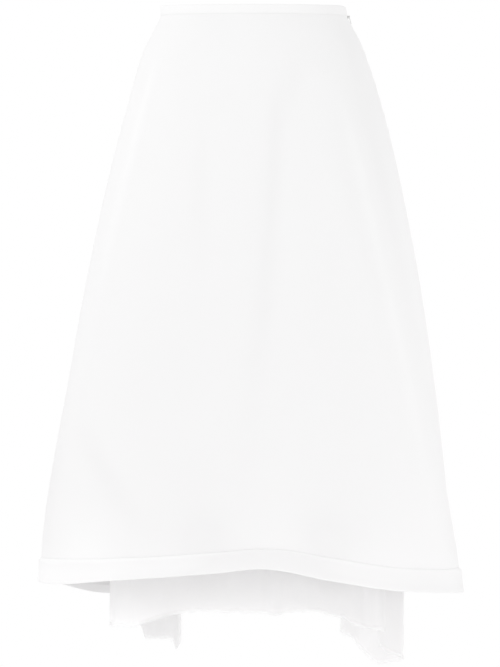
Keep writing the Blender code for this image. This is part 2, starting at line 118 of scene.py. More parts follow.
# A fold is a soft ridge, or a trough where its rise is negative. It starts, is highest and ends at
# these drops, wanders from one turn to the other, and fades out over so many degrees on each side.
Fold = namedtuple("Fold", "start peak end turn_start turn_end before after rise")
SKIRT_FOLDS = (
    Fold(0.060, 0.560, PAST_HEM, 25.0, 95.0, 12.0, 10.0, 0.0080),
    Fold(0.080, 0.600, PAST_HEM, 50.0, 130.0, 9.0, 9.0, -0.0040),
    Fold(0.080, 0.450, 0.950, -58.0, -76.0, 10.0, 9.0, 0.0055),
    Fold(0.060, 0.480, 0.820, 18.0, -6.0, 9.0, 9.0, -0.0060),
    Fold(0.150, 0.300, 0.480, -22.0, -17.0, 8.0, 8.0, -0.0025),
    Fold(0.540, 0.640, 0.740, -62.0, -26.0, 6.0, 6.0, -0.0040),
    Fold(0.560, 0.760, PAST_HEM, 5.0, 2.0, 9.0, 10.0, 0.0060),
    Fold(0.600, 0.745, 0.900, -12.0, -18.0, 7.0, 7.0, -0.0055),
    Fold(0.600, 0.750, PAST_HEM, 24.0, 34.0, 10.0, 13.0, -0.0085),
    Fold(0.200, 0.780, PAST_HEM, 183.0, 178.0, 13.0, 12.0, -0.0080),
    Fold(0.250, 0.780, PAST_HEM, 152.0, 143.0, 11.0, 12.0, 0.0075),
    Fold(0.230, 0.780, PAST_HEM, 213.0, 226.0, 12.0, 11.0, 0.0070),
    Fold(0.350, 0.780, PAST_HEM, 119.0, 112.0, 9.0, 9.0, -0.0040),
    Fold(0.330, 0.780, PAST_HEM, 245.0, 252.0, 9.0, 9.0, -0.0045),
)
# Smaller creases that only this finer cloth carries.
SKIRT_CREASES = (
    Fold(0.050, 0.340, PAST_HEM, 24.5, 91.0, 7.0, 5.0, 0.0030),
    Fold(0.050, 0.250, 0.900, 14.0, -8.0, 5.5, 4.0, -0.0026),
    Fold(0.050, 0.220, 0.620, -55.0, -66.0, 5.0, 5.0, 0.0022),
    Fold(0.000, 0.110, 0.300, 62.0, 74.0, 12.0, 8.0, -0.0030),
    Fold(0.560, 0.650, 0.760, -66.0, -30.0, 4.0, 4.0, -0.0022),
    Fold(0.020, 0.075, 0.200, 60.0, 50.0, 5.0, 5.0, -0.0012),
    Fold(0.420, 0.560, 0.700, 0.0, 4.0, 2.5, 2.5, 0.0011),
    Fold(0.640, 0.720, 0.800, -40.0, -34.0, 4.0, 5.0, -0.0012),
    Fold(0.660, 0.730, 0.800, 52.0, 58.0, 5.0, 4.0, -0.0012),
    Fold(0.300, 0.480, 0.700, -34.0, -30.0, 4.0, 4.0, -0.0008),
    Fold(0.250, 0.420, 0.640, 30.0, 38.0, 5.0, 5.0, -0.0010),
    Fold(0.030, 0.110, 0.260, 196.0, 200.0, 6.0, 6.0, -0.0012),
    Fold(0.030, 0.120, 0.270, 166.0, 161.0, 6.0, 5.0, -0.0012),
    Fold(0.640, 0.740, 0.830, 168.0, 164.0, 4.0, 5.0, -0.0013),
    Fold(0.620, 0.740, 0.830, 197.0, 203.0, 5.0, 4.0, -0.0014),
)
UNDERSKIRT_FOLDS = (
    Fold(0.330, 0.740, PAST_HEM, 66.0, 70.0, 5.0, 11.0, -0.0270),
    Fold(0.420, 0.780, PAST_HEM, 54.0, 58.0, 4.5, 3.5, 0.0050),
    Fold(0.550, 0.800, PAST_HEM, 6.5, 8.0, 2.6, 2.6, 0.0050),
    Fold(0.400, 0.780, PAST_HEM, -24.0, -30.0, 8.0, 8.0, -0.0050),
    Fold(0.450, 0.800, PAST_HEM, 30.0, 36.0, 7.0, 6.0, -0.0050),
    Fold(0.400, 0.800, PAST_HEM, 158.0, 154.0, 8.0, 8.0, 0.0060),
    Fold(0.420, 0.800, PAST_HEM, 178.0, 182.0, 9.0, 9.0, -0.0070),
    Fold(0.400, 0.800, PAST_HEM, 203.0, 205.0, 7.0, 7.0, 0.0055),
    Fold(0.420, 0.800, PAST_HEM, 124.0, 119.0, 7.0, 8.0, -0.0060),
    Fold(0.450, 0.800, PAST_HEM, 238.0, 243.0, 8.0, 7.0, -0.0050),
)
UNDERSKIRT_CREASES = (
    Fold(0.600, 0.840, PAST_HEM, -70.0, -72.0, 2.5, 2.5, 0.0016),
    Fold(0.640, 0.840, PAST_HEM, -58.0, -56.0, 2.0, 2.5, -0.0014),
    Fold(0.700, 0.840, PAST_HEM, -12.0, -13.0, 2.0, 2.0, 0.0012),
    Fold(0.700, 0.840, PAST_HEM, 20.0, 21.0, 2.5, 2.0, 0.0016),
    Fold(0.700, 0.840, PAST_HEM, 46.0, 47.0, 1.6, 1.6, -0.0018),
    Fold(0.700, 0.860, PAST_HEM, 82.0, 83.0, 1.8, 1.8, 0.0018),
    Fold(0.700, 0.860, PAST_HEM, 96.0, 97.0, 2.0, 2.0, -0.0016),
    Fold(0.700, 0.860, PAST_HEM, 134.0, 136.0, 2.5, 2.0, 0.0018),
    Fold(0.700, 0.860, PAST_HEM, 218.0, 220.0, 2.0, 2.0, 0.0016),
    Fold(0.700, 0.860, PAST_HEM, 227.0, 226.0, 2.0, 2.0, -0.0014),
)

# Painted light and shade: where the folds and the layers behind catch or lose the light, the white cloth
# is painted a little lighter, or darker where the rise is negative. The rows read as those of the folds.
SKIRT_PAINTED_SHADES = (
    Fold(0.080, 0.250, 0.780, 41.5, 62.5, 4.5, 3.0, 0.65),
    Fold(0.070, 0.120, 0.300, 30.0, 40.0, 9.0, 9.0, 0.29),
    Fold(-0.050, 0.060, 0.340, 64.0, 64.0, 15.0, 30.0, -0.80),
    Fold(0.100, 0.250, 0.660, 56.0, 71.0, 5.0, 9.0, -0.51),
    Fold(0.070, 0.200, 0.780, 12.0, -6.0, 3.5, 4.0, -0.58),
    Fold(0.050, 0.110, 0.200, 24.0, 10.0, 6.0, 5.0, -0.36),
    Fold(0.070, 0.130, 0.460, -57.5, -61.5, 3.0, 3.0, 0.65),
    Fold(0.150, 0.240, 0.450, -23.0, -17.5, 4.0, 4.0, -0.29),
    Fold(-0.050, 0.000, 0.150, -10.0, -1.0, 9.0, 9.0, 0.29),
    Fold(0.660, 0.735, 0.780, -14.0, -14.0, 6.0, 7.0, -0.65),
    Fold(0.660, 0.725, 0.780, 18.0, 20.0, 6.0, 9.0, -0.58),
    Fold(0.560, 0.700, 0.830, -16.0, -13.0, 13.0, 12.0, -0.36),
    Fold(0.580, 0.710, 0.830, 24.0, 28.0, 12.0, 13.0, -0.36),
    Fold(0.540, 0.630, 0.760, -66.0, -22.0, 6.0, 6.0, -0.51),
    Fold(0.660, 0.745, 0.830, -52.0, -46.0, 14.0, 10.0, 0.72),
    Fold(0.450, 0.650, 0.850, -80.0, -76.0, 11.0, 12.0, -0.65),
    Fold(0.550, 0.700, 0.850, 80.0, 78.0, 10.0, 10.0, -0.29),
    Fold(0.100, 0.400, 0.800, 176.0, 171.0, 4.0, 4.0, -0.51),
    Fold(0.120, 0.380, 0.780, 150.0, 141.0, 4.0, 4.0, 0.58),
    Fold(0.100, 0.360, 0.760, 214.0, 226.0, 4.0, 4.0, 0.58),
    Fold(0.600, 0.720, 0.830, 196.0, 198.0, 9.0, 10.0, -0.51),
    Fold(0.600, 0.720, 0.830, 162.0, 158.0, 9.0, 9.0, -0.43),
)
# Painted light and shade on the voile underskirt: lighter where the rise is positive, darker where it is
# negative, its rows read as those of the folds.
VOILE_PAINTED_SHADES = (
    Fold(0.500, 0.800, PAST_HEM, -66.0, -66.0, 20.0, 22.0, 0.90),
    Fold(0.700, 0.800, PAST_HEM, -12.0, -12.0, 14.0, 10.0, -0.20),
    Fold(0.600, 0.800, PAST_HEM, 8.6, 8.8, 2.2, 1.6, 0.60),
    Fold(0.600, 0.800, PAST_HEM, 3.0, 2.0, 3.0, 3.0, 0.25),
    Fold(0.700, 0.790, PAST_HEM, 33.0, 34.0, 14.0, 12.0, -0.80),
    Fold(0.600, 0.800, PAST_HEM, 52.5, 53.0, 1.2, 1.2, 0.60),
    Fold(0.600, 0.800, PAST_HEM, 56.0, 56.5, 0.9, 0.9, -0.50),
    Fold(0.600, 0.800, PAST_HEM, 58.5, 59.0, 0.9, 0.9, 0.45),
    Fold(0.600, 0.860, PAST_HEM, 138.0, 139.0, 5.0, 5.0, -0.40),
    Fold(0.600, 0.860, PAST_HEM, 84.0, 84.0, 2.0, 2.0, 0.40),
    Fold(0.600, 0.860, PAST_HEM, 212.0, 213.0, 2.0, 2.0, -0.60),
    Fold(0.600, 0.860, PAST_HEM, 228.0, 229.0, 3.0, 3.0, 0.30),
)

# Lower edges, as the drop at each turn.
Edge = namedtuple("Edge", "turn drop")
SKIRT_HEM = (
    Edge(-90.0, 0.7880),
    Edge(-60.0, 0.7842),
    Edge(-41.0, 0.7766),
    Edge(-10.0, 0.7640),
    Edge(2.0, 0.7578),
    Edge(21.0, 0.7744),
    Edge(45.0, 0.7916),
    Edge(90.0, 0.8025),
    Edge(133.0, 0.8110),
    Edge(180.0, 0.8230),
    Edge(223.0, 0.8150),
    Edge(250.0, 0.7950),
    Edge(270.0, 0.7880),
)
# The hem band's height at each turn, as a share of the named height. The band tips under a
# little where the hem arches up in front, so it shows less tall there.
Share = namedtuple("Share", "turn share")
BAND_SHARES = (
    Share(-90.0, 1.00),
    Share(-60.0, 0.99),
    Share(-43.0, 0.89),
    Share(-26.0, 0.83),
    Share(-12.0, 0.82),
    Share(0.0, 0.78),
    Share(13.0, 0.88),
    Share(28.0, 0.92),
    Share(45.0, 0.92),
    Share(64.0, 0.98),
    Share(90.0, 1.00),
    Share(270.0, 1.00),
)
UNDERSKIRT_FRONT_HEM = (
    Edge(-90.0, 0.8456),
    Edge(-54.0, 0.8422),
    Edge(-43.0, 0.8325),
    Edge(-33.0, 0.8245),
    Edge(-19.0, 0.8193),
    Edge(2.7, 0.8207),
    Edge(8.2, 0.8236),
    Edge(14.2, 0.8198),
    Edge(22.0, 0.8190),
    Edge(30.6, 0.8256),
    Edge(36.2, 0.8295),
    Edge(41.0, 0.8388),
    Edge(53.2, 0.8473),
    Edge(68.0, 0.8530),
)
UNDERSKIRT_ZIP_TAIL = (
    Edge(68.0, 0.8740),
    Edge(78.0, 0.8860),
    Edge(90.0, 0.8930),
    Edge(112.0, 0.9030),
    Edge(119.7, 0.9056),
    Edge(125.8, 0.9013),
    Edge(133.3, 0.8880),
    Edge(138.3, 0.8735),
    Edge(143.7, 0.8665),
)
UNDERSKIRT_MIDDLE_BACK = (
    Edge(143.7, 0.8260),
    Edge(165.0, 0.8290),
    Edge(188.0, 0.8250),
    Edge(210.9, 0.8260),
)
UNDERSKIRT_FAR_TAIL = (
    Edge(210.9, 0.8805),
    Edge(213.6, 0.8915),
    Edge(215.4, 0.8775),
    Edge(223.0, 0.8755),
    Edge(230.6, 0.8735),
    Edge(234.0, 0.8560),
    Edge(240.0, 0.8480),
    Edge(270.0, 0.8456),
)

# Cross-sections of the bands, as distances outwards from the panel's surface and downwards.
Corner = namedtuple("Corner", "out down")
WAISTBAND_PROFILE = (
    Corner(-1.9 * MM, 0.9 * MM),
    Corner(-1.5 * MM, 0.2 * MM),
    Corner(-0.7 * MM, -0.1 * MM),
    Corner(0.2 * MM, 0.0 * MM),
    Corner(0.9 * MM, 0.5 * MM),
    Corner(1.3 * MM, 1.6 * MM),
    Corner(1.5 * MM, 4.5 * MM),
    Corner(1.5 * MM, 8.0 * MM),
    Corner(1.2 * MM, 11.0 * MM),
    Corner(0.8 * MM, 12.2 * MM),
    Corner(0.3 * MM, 12.9 * MM),
    Corner(-0.5 * MM, 13.3 * MM),
    Corner(-1.6 * MM, 13.2 * MM),
    Corner(-2.1 * MM, 12.0 * MM),
    Corner(-2.1 * MM, 5.0 * MM),
)
HEM_BAND_PROFILE = (
    Corner(-1.0 * MM, -31.0 * MM),
    Corner(-0.9 * MM, -33.6 * MM),
    Corner(0.2 * MM, -33.2 * MM),
    Corner(1.2 * MM, -32.5 * MM),
    Corner(2.1 * MM, -31.6 * MM),
    Corner(2.8 * MM, -30.4 * MM),
    Corner(3.1 * MM, -29.0 * MM),
    Corner(3.0 * MM, -27.2 * MM),
    Corner(2.6 * MM, -25.0 * MM),
    Corner(2.3 * MM, -22.0 * MM),
    Corner(2.1 * MM, -15.0 * MM),
    Corner(2.5 * MM, -8.0 * MM),
    Corner(2.8 * MM, -3.5 * MM),
    Corner(2.8 * MM, -1.5 * MM),
    Corner(2.3 * MM, -0.2 * MM),
    Corner(1.4 * MM, 0.5 * MM),
    Corner(0.5 * MM, 0.4 * MM),
    Corner(-0.6 * MM, 0.5 * MM),
    Corner(-1.6 * MM, 0.4 * MM),
    Corner(-2.3 * MM, -0.2 * MM),
)

# The zip's slider, its pin and its pull tab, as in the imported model.
SLIDER_DROP = 0.0176
PIN_HEIGHT = 3.1 * MM
PIN_RADIUS = 0.45 * MM
TAB_LENGTH = 11.0 * MM
TAB_EYE_RADIUS = 1.15 * MM
TAB_HOLE_RADIUS = 0.68 * MM
TAB_SIDES = 10
TAB_REST_SHARE = 0.95
TAB_OFF_CLOTH = 0.35 * MM
Station = namedtuple("Station", "share half_width")
TAB_STATIONS = (
    Station(0.00, 1.0 * MM),
    Station(0.20, 0.9 * MM),
    Station(0.40, 1.1 * MM),
    Station(0.62, 1.5 * MM),
    Station(0.80, 1.7 * MM),
    Station(0.91, 1.55 * MM),
    Station(0.97, 1.15 * MM),
    Station(1.00, 0.6 * MM),
)


class SkirtCut(bpy.types.PropertyGroup):
    """Sizes of the outer skirt."""

    band_height: bpy.props.FloatProperty(
        name="Hem band height",
        description="Height of the doubled band round the hem",
        default=0.030,
        min=0.005,
        unit="LENGTH",
    )
    waistband_height: bpy.props.FloatProperty(
        name="Waistband height",
        description="Height of the folded waistband",
        default=0.013,
        min=0.005,
        unit="LENGTH",
    )
    cloth: bpy.props.FloatProperty(
        name="Cloth thickness",
        description="Thickness of the skirt cloth",
        default=0.0018,
        min=0.0005,
        unit="LENGTH",
    )
    ripple: bpy.props.FloatProperty(
        name="Surface ripple",
        description="Height of the slow, faint unevenness of the hanging cloth",
        default=0.0006,
        min=0.0,
        unit="LENGTH",
    )
    pucker: bpy.props.FloatProperty(
        name="Seam pucker",
        description="Depth of the small puckers beside seams and bands",
        default=0.0004,
        min=0.0,
        unit="LENGTH",
    )
    corner_droop: bpy.props.FloatProperty(
        name="Corner droop",
        description="How far the waistband's two ends sink at the zip",
        default=0.0018,
        min=0.0,
        unit="LENGTH",
    )
    zip_length: bpy.props.FloatProperty(
        name="Zip length",
        description="Length of the concealed zip in the side seam",
        default=0.18,
        min=0.05,
        unit="LENGTH",
    )


class UnderskirtCut(bpy.types.PropertyGroup):
    """Sizes of the voile underskirt and its raw edge."""

    cloth: bpy.props.FloatProperty(
        name="Voile thickness",
        description="Thickness of the underskirt's voile",
        default=0.0004,
        min=0.0001,
        unit="LENGTH",
    )
    crumple: bpy.props.FloatProperty(
        name="Crumple",
        description="Height of the voile's small soft creases",
        default=0.0011,
        min=0.0,
        unit="LENGTH",
    )
    ragged: bpy.props.FloatProperty(
        name="Ragged edge",
        description="How far the raw edge strays from its cutting line",
        default=0.0005,
        min=0.0,
        unit="LENGTH",
    )
    thread_spacing: bpy.props.FloatProperty(
        name="Thread spacing",
        description="Mean distance between loose threads along the raw edge",
        default=0.0011,
        min=0.0003,
        unit="LENGTH",
    )
    thread_length: bpy.props.FloatProperty(
        name="Thread length",
        description="Length of the longest loose threads",
        default=0.0075,
        min=0.001,
        unit="LENGTH",
    )


class SkirtFinish(bpy.types.PropertyGroup):
    """Colours of the cloths and the zip."""

    skirt: bpy.props.FloatVectorProperty(
        name="Skirt cloth",
        description="Colour of the skirt cloth",
        default=(0.930, 0.922, 0.926),
        size=3,
        subtype="COLOR",
        min=0.0,
        max=1.0,
    )
    voile: bpy.props.FloatVectorProperty(
        name="Voile",
        description="Colour of the underskirt",
        default=(0.920, 0.902, 0.910),
        size=3,
        subtype="COLOR",
        min=0.0,
        max=1.0,
    )
    metal: bpy.props.FloatVectorProperty(
        name="Zip metal",
        description="Colour of the zip's slider and pull tab",
        default=(0.55, 0.55, 0.54),
        size=3,
        subtype="COLOR",
        min=0.0,
        max=1.0,
    )


class SkirtStudio(bpy.types.PropertyGroup):
    """The stage, lights and camera."""

    distance: bpy.props.FloatProperty(
        name="Camera distance",
        description="Distance from the camera to the skirt's axis",
        default=5.0,
        min=1.0,
        unit="LENGTH",
    )
    floor_drop: bpy.props.FloatProperty(
        name="Floor drop",
        description="How far the floor lies below the waist",
        default=1.25,
        min=0.95,
        unit="LENGTH",
    )
    daylight: bpy.props.FloatProperty(
        name="Surrounding light",
        description="Strength of the even white light from all round",
        default=0.795,
        min=0.0,
    )
    key: bpy.props.FloatProperty(
        name="Key light",
        description="Power of the large soft light at the upper left",
        default=20.0,
        min=0.0,
        unit="POWER",
    )
    fill: bpy.props.FloatProperty(
        name="Fill light",
        description="Power of the soft light at the right",
        default=12.0,
        min=0.0,
        unit="POWER",
    )
    strip: bpy.props.FloatProperty(
        name="Low strip light",
        description="Power of the low, narrow light that opens up the shade under the hem",
        default=0.20,
        min=0.0,
        unit="POWER",
    )
    card: bpy.props.FloatProperty(
        name="Floor card",
        description="Power of the light thrown up from below",
        default=1.6,
        min=0.0,
        unit="POWER",
    )
    grade: bpy.props.FloatProperty(
        name="High-key grade",
        description="Gamma of the view, which flattens the light tones as in a bright product picture",
        default=1.6,
        min=0.5,
        max=3.0,
    )


def smooth_curve(knots, values):
    """A vectorised function through the values that never overshoots them, level beyond its ends."""
    knots = np.asarray(knots, float)
    values = np.asarray(values, float)
    steps = np.diff(knots)
    rates = np.diff(values) / steps
    slopes = np.empty(len(knots))
    slopes[0] = rates[0]
    slopes[-1] = rates[-1]
    for k in range(1, len(rates)):
        before, after = rates[k - 1], rates[k]
        total = steps[k - 1] + steps[k]
        if before * after <= 0:
            slopes[k] = 0.0
        else:
            slopes[k] = 3 * total / ((total + steps[k]) / before + (total + steps[k - 1]) / after)

    def value_at(at):
        at = np.clip(np.asarray(at, float), knots[0], knots[-1])
        k = np.clip(np.searchsorted(knots, at, side="right") - 1, 0, len(steps) - 1)
        t = (at - knots[k]) / steps[k]
        rise = values[k + 1] - values[k]
        bend_in = slopes[k] * steps[k] - rise
        bend_out = rise - slopes[k + 1] * steps[k]
        return values[k] + t * rise + t * (1 - t) * ((1 - t) * bend_in + t * bend_out)

    return value_at


def edge_curve(rows):
    return smooth_curve([row.turn for row in rows], [row.drop for row in rows])


def ramp(share):
    share = np.clip(share, 0.0, 1.0)
    return share * share * (3 - 2 * share)


def turn_between(turn, centre):
    """The signed difference of two turns, the short way round."""
    return (turn - centre + 180) % 360 - 180


def fold_height(fold, turn, drop):
    along = (drop - fold.start) / (fold.end - fold.start)
    away = turn_between(turn, fold.turn_start + along * (fold.turn_end - fold.turn_start))
    width = np.where(away < 0, fold.before, fold.after)
    up = ramp((drop - fold.start) / (fold.peak - fold.start))
    down = ramp((fold.end - drop) / (fold.end - fold.peak))
    return fold.rise * np.where(drop < fold.peak, up, down) * np.exp(-((away / width) ** 2))


def ripple(turn, drop, pitch, seed, count=7):
    """A slow unevenness from -1 to 1, as a sum of waves that close round the skirt."""
    draw = random.Random(seed)
    total = np.zeros(np.broadcast(turn, drop).shape)
    angle = np.radians(turn)
    for _ in range(count):
        round_count = draw.randint(3, max(4, int(1.2 / pitch)))
        down_count = draw.uniform(-1.0, 1.0) / pitch
        total = total + np.sin(round_count * angle + 2 * math.pi * (down_count * drop + draw.random()))
    return total / count


class Surface:
    """The outer face of a tube of cloth, from its sections, its folds and any finer relief."""

    def __init__(self, sections, folds, relief=None):
        drops = [row.drop for row in sections]
        self.minus_x = smooth_curve(drops, [row.minus_x for row in sections])
        self.plus_x = smooth_curve(drops, [row.plus_x for row in sections])
        self.front = smooth_curve(drops, [row.front for row in sections])
        self.back = smooth_curve(drops, [row.back for row in sections])
        self.folds = folds
        self.relief = relief

    def points(self, turn, drop):
        turn, drop = np.broadcast_arrays(np.asarray(turn, float), np.asarray(drop, float))
        angle = np.radians(turn)
        sine, cosine = np.sin(angle), np.cos(angle)
        across = np.where(sine >= 0, self.plus_x(drop), self.minus_x(drop))
        deep = np.where(cosine >= 0, self.front(drop), self.back(drop))
        out = np.stack([deep * sine, -across * cosine, np.zeros_like(turn)], axis=-1)
        out /= np.linalg.norm(out, axis=-1, keepdims=True)
        bulge = sum(fold_height(fold, turn, drop) for fold in self.folds)
        if self.relief is not None:
            bulge = bulge + self.relief(turn, drop)
        place = np.stack([across * sine, -deep * cosine, -drop], axis=-1)
        return place + bulge[..., None] * out

    def along(self, turn, drop):
        """The direction of growing turn."""
        step = 0.2
        away = self.points(turn + step, drop) - self.points(turn - step, drop)
        return away / np.linalg.norm(away, axis=-1, keepdims=True)

    def normals(self, turn, drop):
        step = 0.001
        turn, drop = np.broadcast_arrays(np.asarray(turn, float), np.asarray(drop, float))
        down = self.points(turn, drop + step) - self.points(turn, drop - step)
        normal = np.cross(down, self.along(turn, drop))
        return normal / np.linalg.norm(normal, axis=-1, keepdims=True)

    def moved_out(self, turn, drop, distance):
        distance = np.asarray(distance, float)
        return self.points(turn, drop) + distance[..., None] * self.normals(turn, drop)


def tone_from(tones):
    """A function giving the painted light and shade at a place, summed from the listed rows."""

    def tone_at(turn, drop):
        return sum(fold_height(tone, turn, drop) for tone in tones)

    return tone_at


def waist_top(turn):
    return WAIST_DROP + WAIST_DIP * np.cos(np.radians(turn))


HEM_CURVE = edge_curve(SKIRT_HEM)


def skirt_hem(turn):
    """The hem's drop at any turn."""
    return HEM_CURVE((np.asarray(turn, float) + 90) % 360 - 90)


BAND_CURVE = smooth_curve([row.turn for row in BAND_SHARES], [row.share for row in BAND_SHARES])


def band_share(turn):
    """The hem band's share of its named height at any turn."""
    return BAND_CURVE((np.asarray(turn, float) + 90) % 360 - 90)


def skirt_relief(cut):
    """The outer cloth's own fine unevenness: slow ripples, side seams and the pull of the hem band."""

    def relief(turn, drop):
        slow = cut.ripple * ripple(turn, drop, 0.16, 11) * ramp(drop / 0.12)
        seam_width = 2.2 * MM / MEAN_RADIUS
        seams = 0.0
        for seam in (ZIP_SEAM, PLAIN_SEAM):
            away = np.radians(turn_between(turn, seam))
            seams = seams - 0.7 * MM * np.exp(-((away / seam_width) ** 2))
        beside_zip = np.radians(np.abs(turn_between(turn, ZIP_SEAM))) * 0.15
        on_zip = ramp((0.014 + cut.zip_length - drop) / 0.02) * ramp((drop - 0.012) / 0.01)
        wave = np.sin(2 * math.pi * drop / 0.021) + 0.6 * np.sin(2 * math.pi * drop / 0.0133 + 1.1)
        zip_pucker = cut.pucker * wave * on_zip * np.exp(-((beside_zip / 0.012) ** 2))
        above_band = skirt_hem(turn) - cut.band_height * band_share(turn) - drop
        band_pull = -0.4 * MM * np.exp(-(((above_band - 0.008) / 0.010) ** 2))
        gather = cut.pucker * ripple(turn, drop * 0.2, 0.03, 23, 9) * np.exp(-((above_band / 0.016) ** 2))
        fade = ramp(drop / 0.02)
        return (slow + seams + zip_pucker + band_pull + gather) * fade

    return relief


def band_relief(cut):
    """The hem band follows the skirt's slow ripples, with small puckers of its own."""

    def relief(turn, drop):
        slow = cut.ripple * ripple(turn, drop, 0.16, 11) * ramp(drop / 0.12)
        up = (skirt_hem(turn) - drop) / (cut.band_height * band_share(turn))
        near_edge = np.exp(-(((up - 0.95) / 0.3) ** 2)) + 0.7 * np.exp(-((up / 0.25) ** 2))
        pucker = 0.8 * cut.pucker * ripple(turn, drop * 0.1, 0.022, 31, 9) * near_edge
        return slow + pucker

    return relief


def waistband_relief(cut):
    """The waistband's faint fullness along its length."""

    def relief(turn, drop):
        return 0.5 * cut.pucker * ripple(turn, drop * 0.3, 0.05, 53, 8)

    return relief


def voile_relief(cut):
    """Small soft creases in the underskirt, fading out under the waistband."""

    def relief(turn, drop):
        fine = ripple(turn, drop, 0.035, 41, 10) + 0.5 * ripple(turn, drop, 0.014, 43, 10)
        return cut.crumple * fine * ramp((drop - 0.1) / 0.3)

    return relief


def turns_with_seams(first, last, step, seams, near=(0.12, 0.3, 0.55, 0.9, 1.4)):
    """Even turns, closer together beside each seam."""
    turns = set(np.round(np.arange(first, last + step / 2, step), 4))
    for seam in seams:
        turns.add(round(seam, 4))
        for away in near:
            turns.update({round(seam - away, 4), round(seam + away, 4)})
    return np.array(sorted(t for t in turns if first <= t <= last))


def add_mesh(name, points, faces, material, uvs=None, smooth=True):
    mesh = bpy.data.meshes.new(name)
    mesh.from_pydata([tuple(p) for p in points], [], faces)
    mesh.materials.append(material)
    if uvs is not None:
        layer = mesh.uv_layers.new(name="cloth_metres")
        corner_points = np.empty(len(mesh.loops), np.int32)
        mesh.loops.foreach_get("vertex_index", corner_points)
        layer.data.foreach_set("uv", np.asarray(uvs, np.float32)[corner_points].ravel())
    if smooth:
        mesh.shade_smooth()
    mesh.validate()
    made = bpy.data.objects.new(name, mesh)
    bpy.context.scene.collection.objects.link(made)
    return made


def give_value(made, name, values):
    """Stores one number for each point of a mesh, for its material to read."""
    attribute = made.data.attributes.new(name, "FLOAT", "POINT")
    attribute.data.foreach_set("value", np.asarray(values, np.float32).ravel())


def wall_mesh(name, surface, turns, drops, thickness, material, closed=False, **values):
    """A closed wall of cloth from a grid of places. Rows of NaN drop leave the cloth out."""
    columns, rows = drops.shape
    present = np.isfinite(drops)
    at_turn = np.repeat(turns[:, None], rows, axis=1)[present]
    at_drop = drops[present]
    number = -np.ones(drops.shape, int)
    number[present] = np.arange(present.sum())
    outer = surface.points(at_turn, at_drop)
    inner = outer - thickness * surface.normals(at_turn, at_drop)
    count = len(outer)
    uv = np.stack([np.radians(at_turn) * MEAN_RADIUS, at_drop], axis=-1)
    faces = []
    edges = set()
    last = columns if closed else columns - 1
    for i in range(last):
        k = (i + 1) % columns
        for j in range(rows - 1):
            a, b, c, d = number[i, j], number[i, j + 1], number[k, j + 1], number[k, j]
            if min(a, b, c, d) < 0:
                continue
            faces.append((a, b, c, d))
            faces.append((d + count, c + count, b + count, a + count))
            edges.update(((a, b), (b, c), (c, d), (d, a)))
    for a, b in edges:
        if (b, a) not in edges:
            faces.append((b, a, a + count, b + count))
    faces = [tuple(int(v) for v in face) for face in faces]
    made = add_mesh(name, np.vstack([outer, inner]), faces, material, np.vstack([uv, uv]))
    for label, value_at in values.items():
        give_value(made, label, np.tile(value_at(at_turn, at_drop), 2))
    return made


def swept_mesh(name, surface, turns, base, profile, material, closed=True, share=np.ones_like):
    """A band whose cross-section follows the surface along its base line, its height by share."""
    count = len(profile)
    out = np.array([corner.out for corner in profile])
    down = np.array([corner.down for corner in profile])
    at_turn = np.repeat(turns[:, None], count, axis=1)
    at_drop = base(turns)[:, None] + down[None, :] * share(turns)[:, None]
    points = surface.moved_out(at_turn, at_drop, np.broadcast_to(out, at_turn.shape))
    lengths = np.cumsum([0.0] + [math.dist(a, b) for a, b in zip(profile, profile[1:])])
    along = np.radians(at_turn) * MEAN_RADIUS
    uv = np.stack([along, np.broadcast_to(lengths, at_turn.shape)], axis=-1)
    faces = []
    columns = len(turns)
    last = columns if closed else columns - 1
    for i in range(last):
        k = (i + 1) % columns
        for c in range(count):
            d = (c + 1) % count
            faces.append((i * count + c, i * count + d, k * count + d, k * count + c))
    if not closed:
        faces.append(tuple(range(count)))
        faces.append(tuple(range((columns - 1) * count, columns * count))[::-1])
    return add_mesh(name, points.reshape(-1, 3), faces, material, uv.reshape(-1, 2))


def new_group(name, inputs, outputs):
    """An empty shader node group with named sockets."""
    group = bpy.data.node_groups.new(name, "ShaderNodeTree")
    for label, kind, value in inputs:
        socket = group.interface.new_socket(name=label, in_out="INPUT", socket_type=kind)
        if value is not None:
            socket.default_value = value
    for label, kind in outputs:
        group.interface.new_socket(name=label, in_out="OUTPUT", socket_type=kind)
    return group


def math_node(tree, operation, first, second=None, clamp=False):
    """A Math node fed by sockets or plain numbers."""
    node = tree.nodes.new("ShaderNodeMath")
    node.operation = operation
    node.use_clamp = clamp
    for socket, value in zip(node.inputs, (first, second)):
        if value is None:
            continue
        if hasattr(value, "is_linked"):
            tree.links.new(value, socket)
        else:
            socket.default_value = value
    return node.outputs[0]


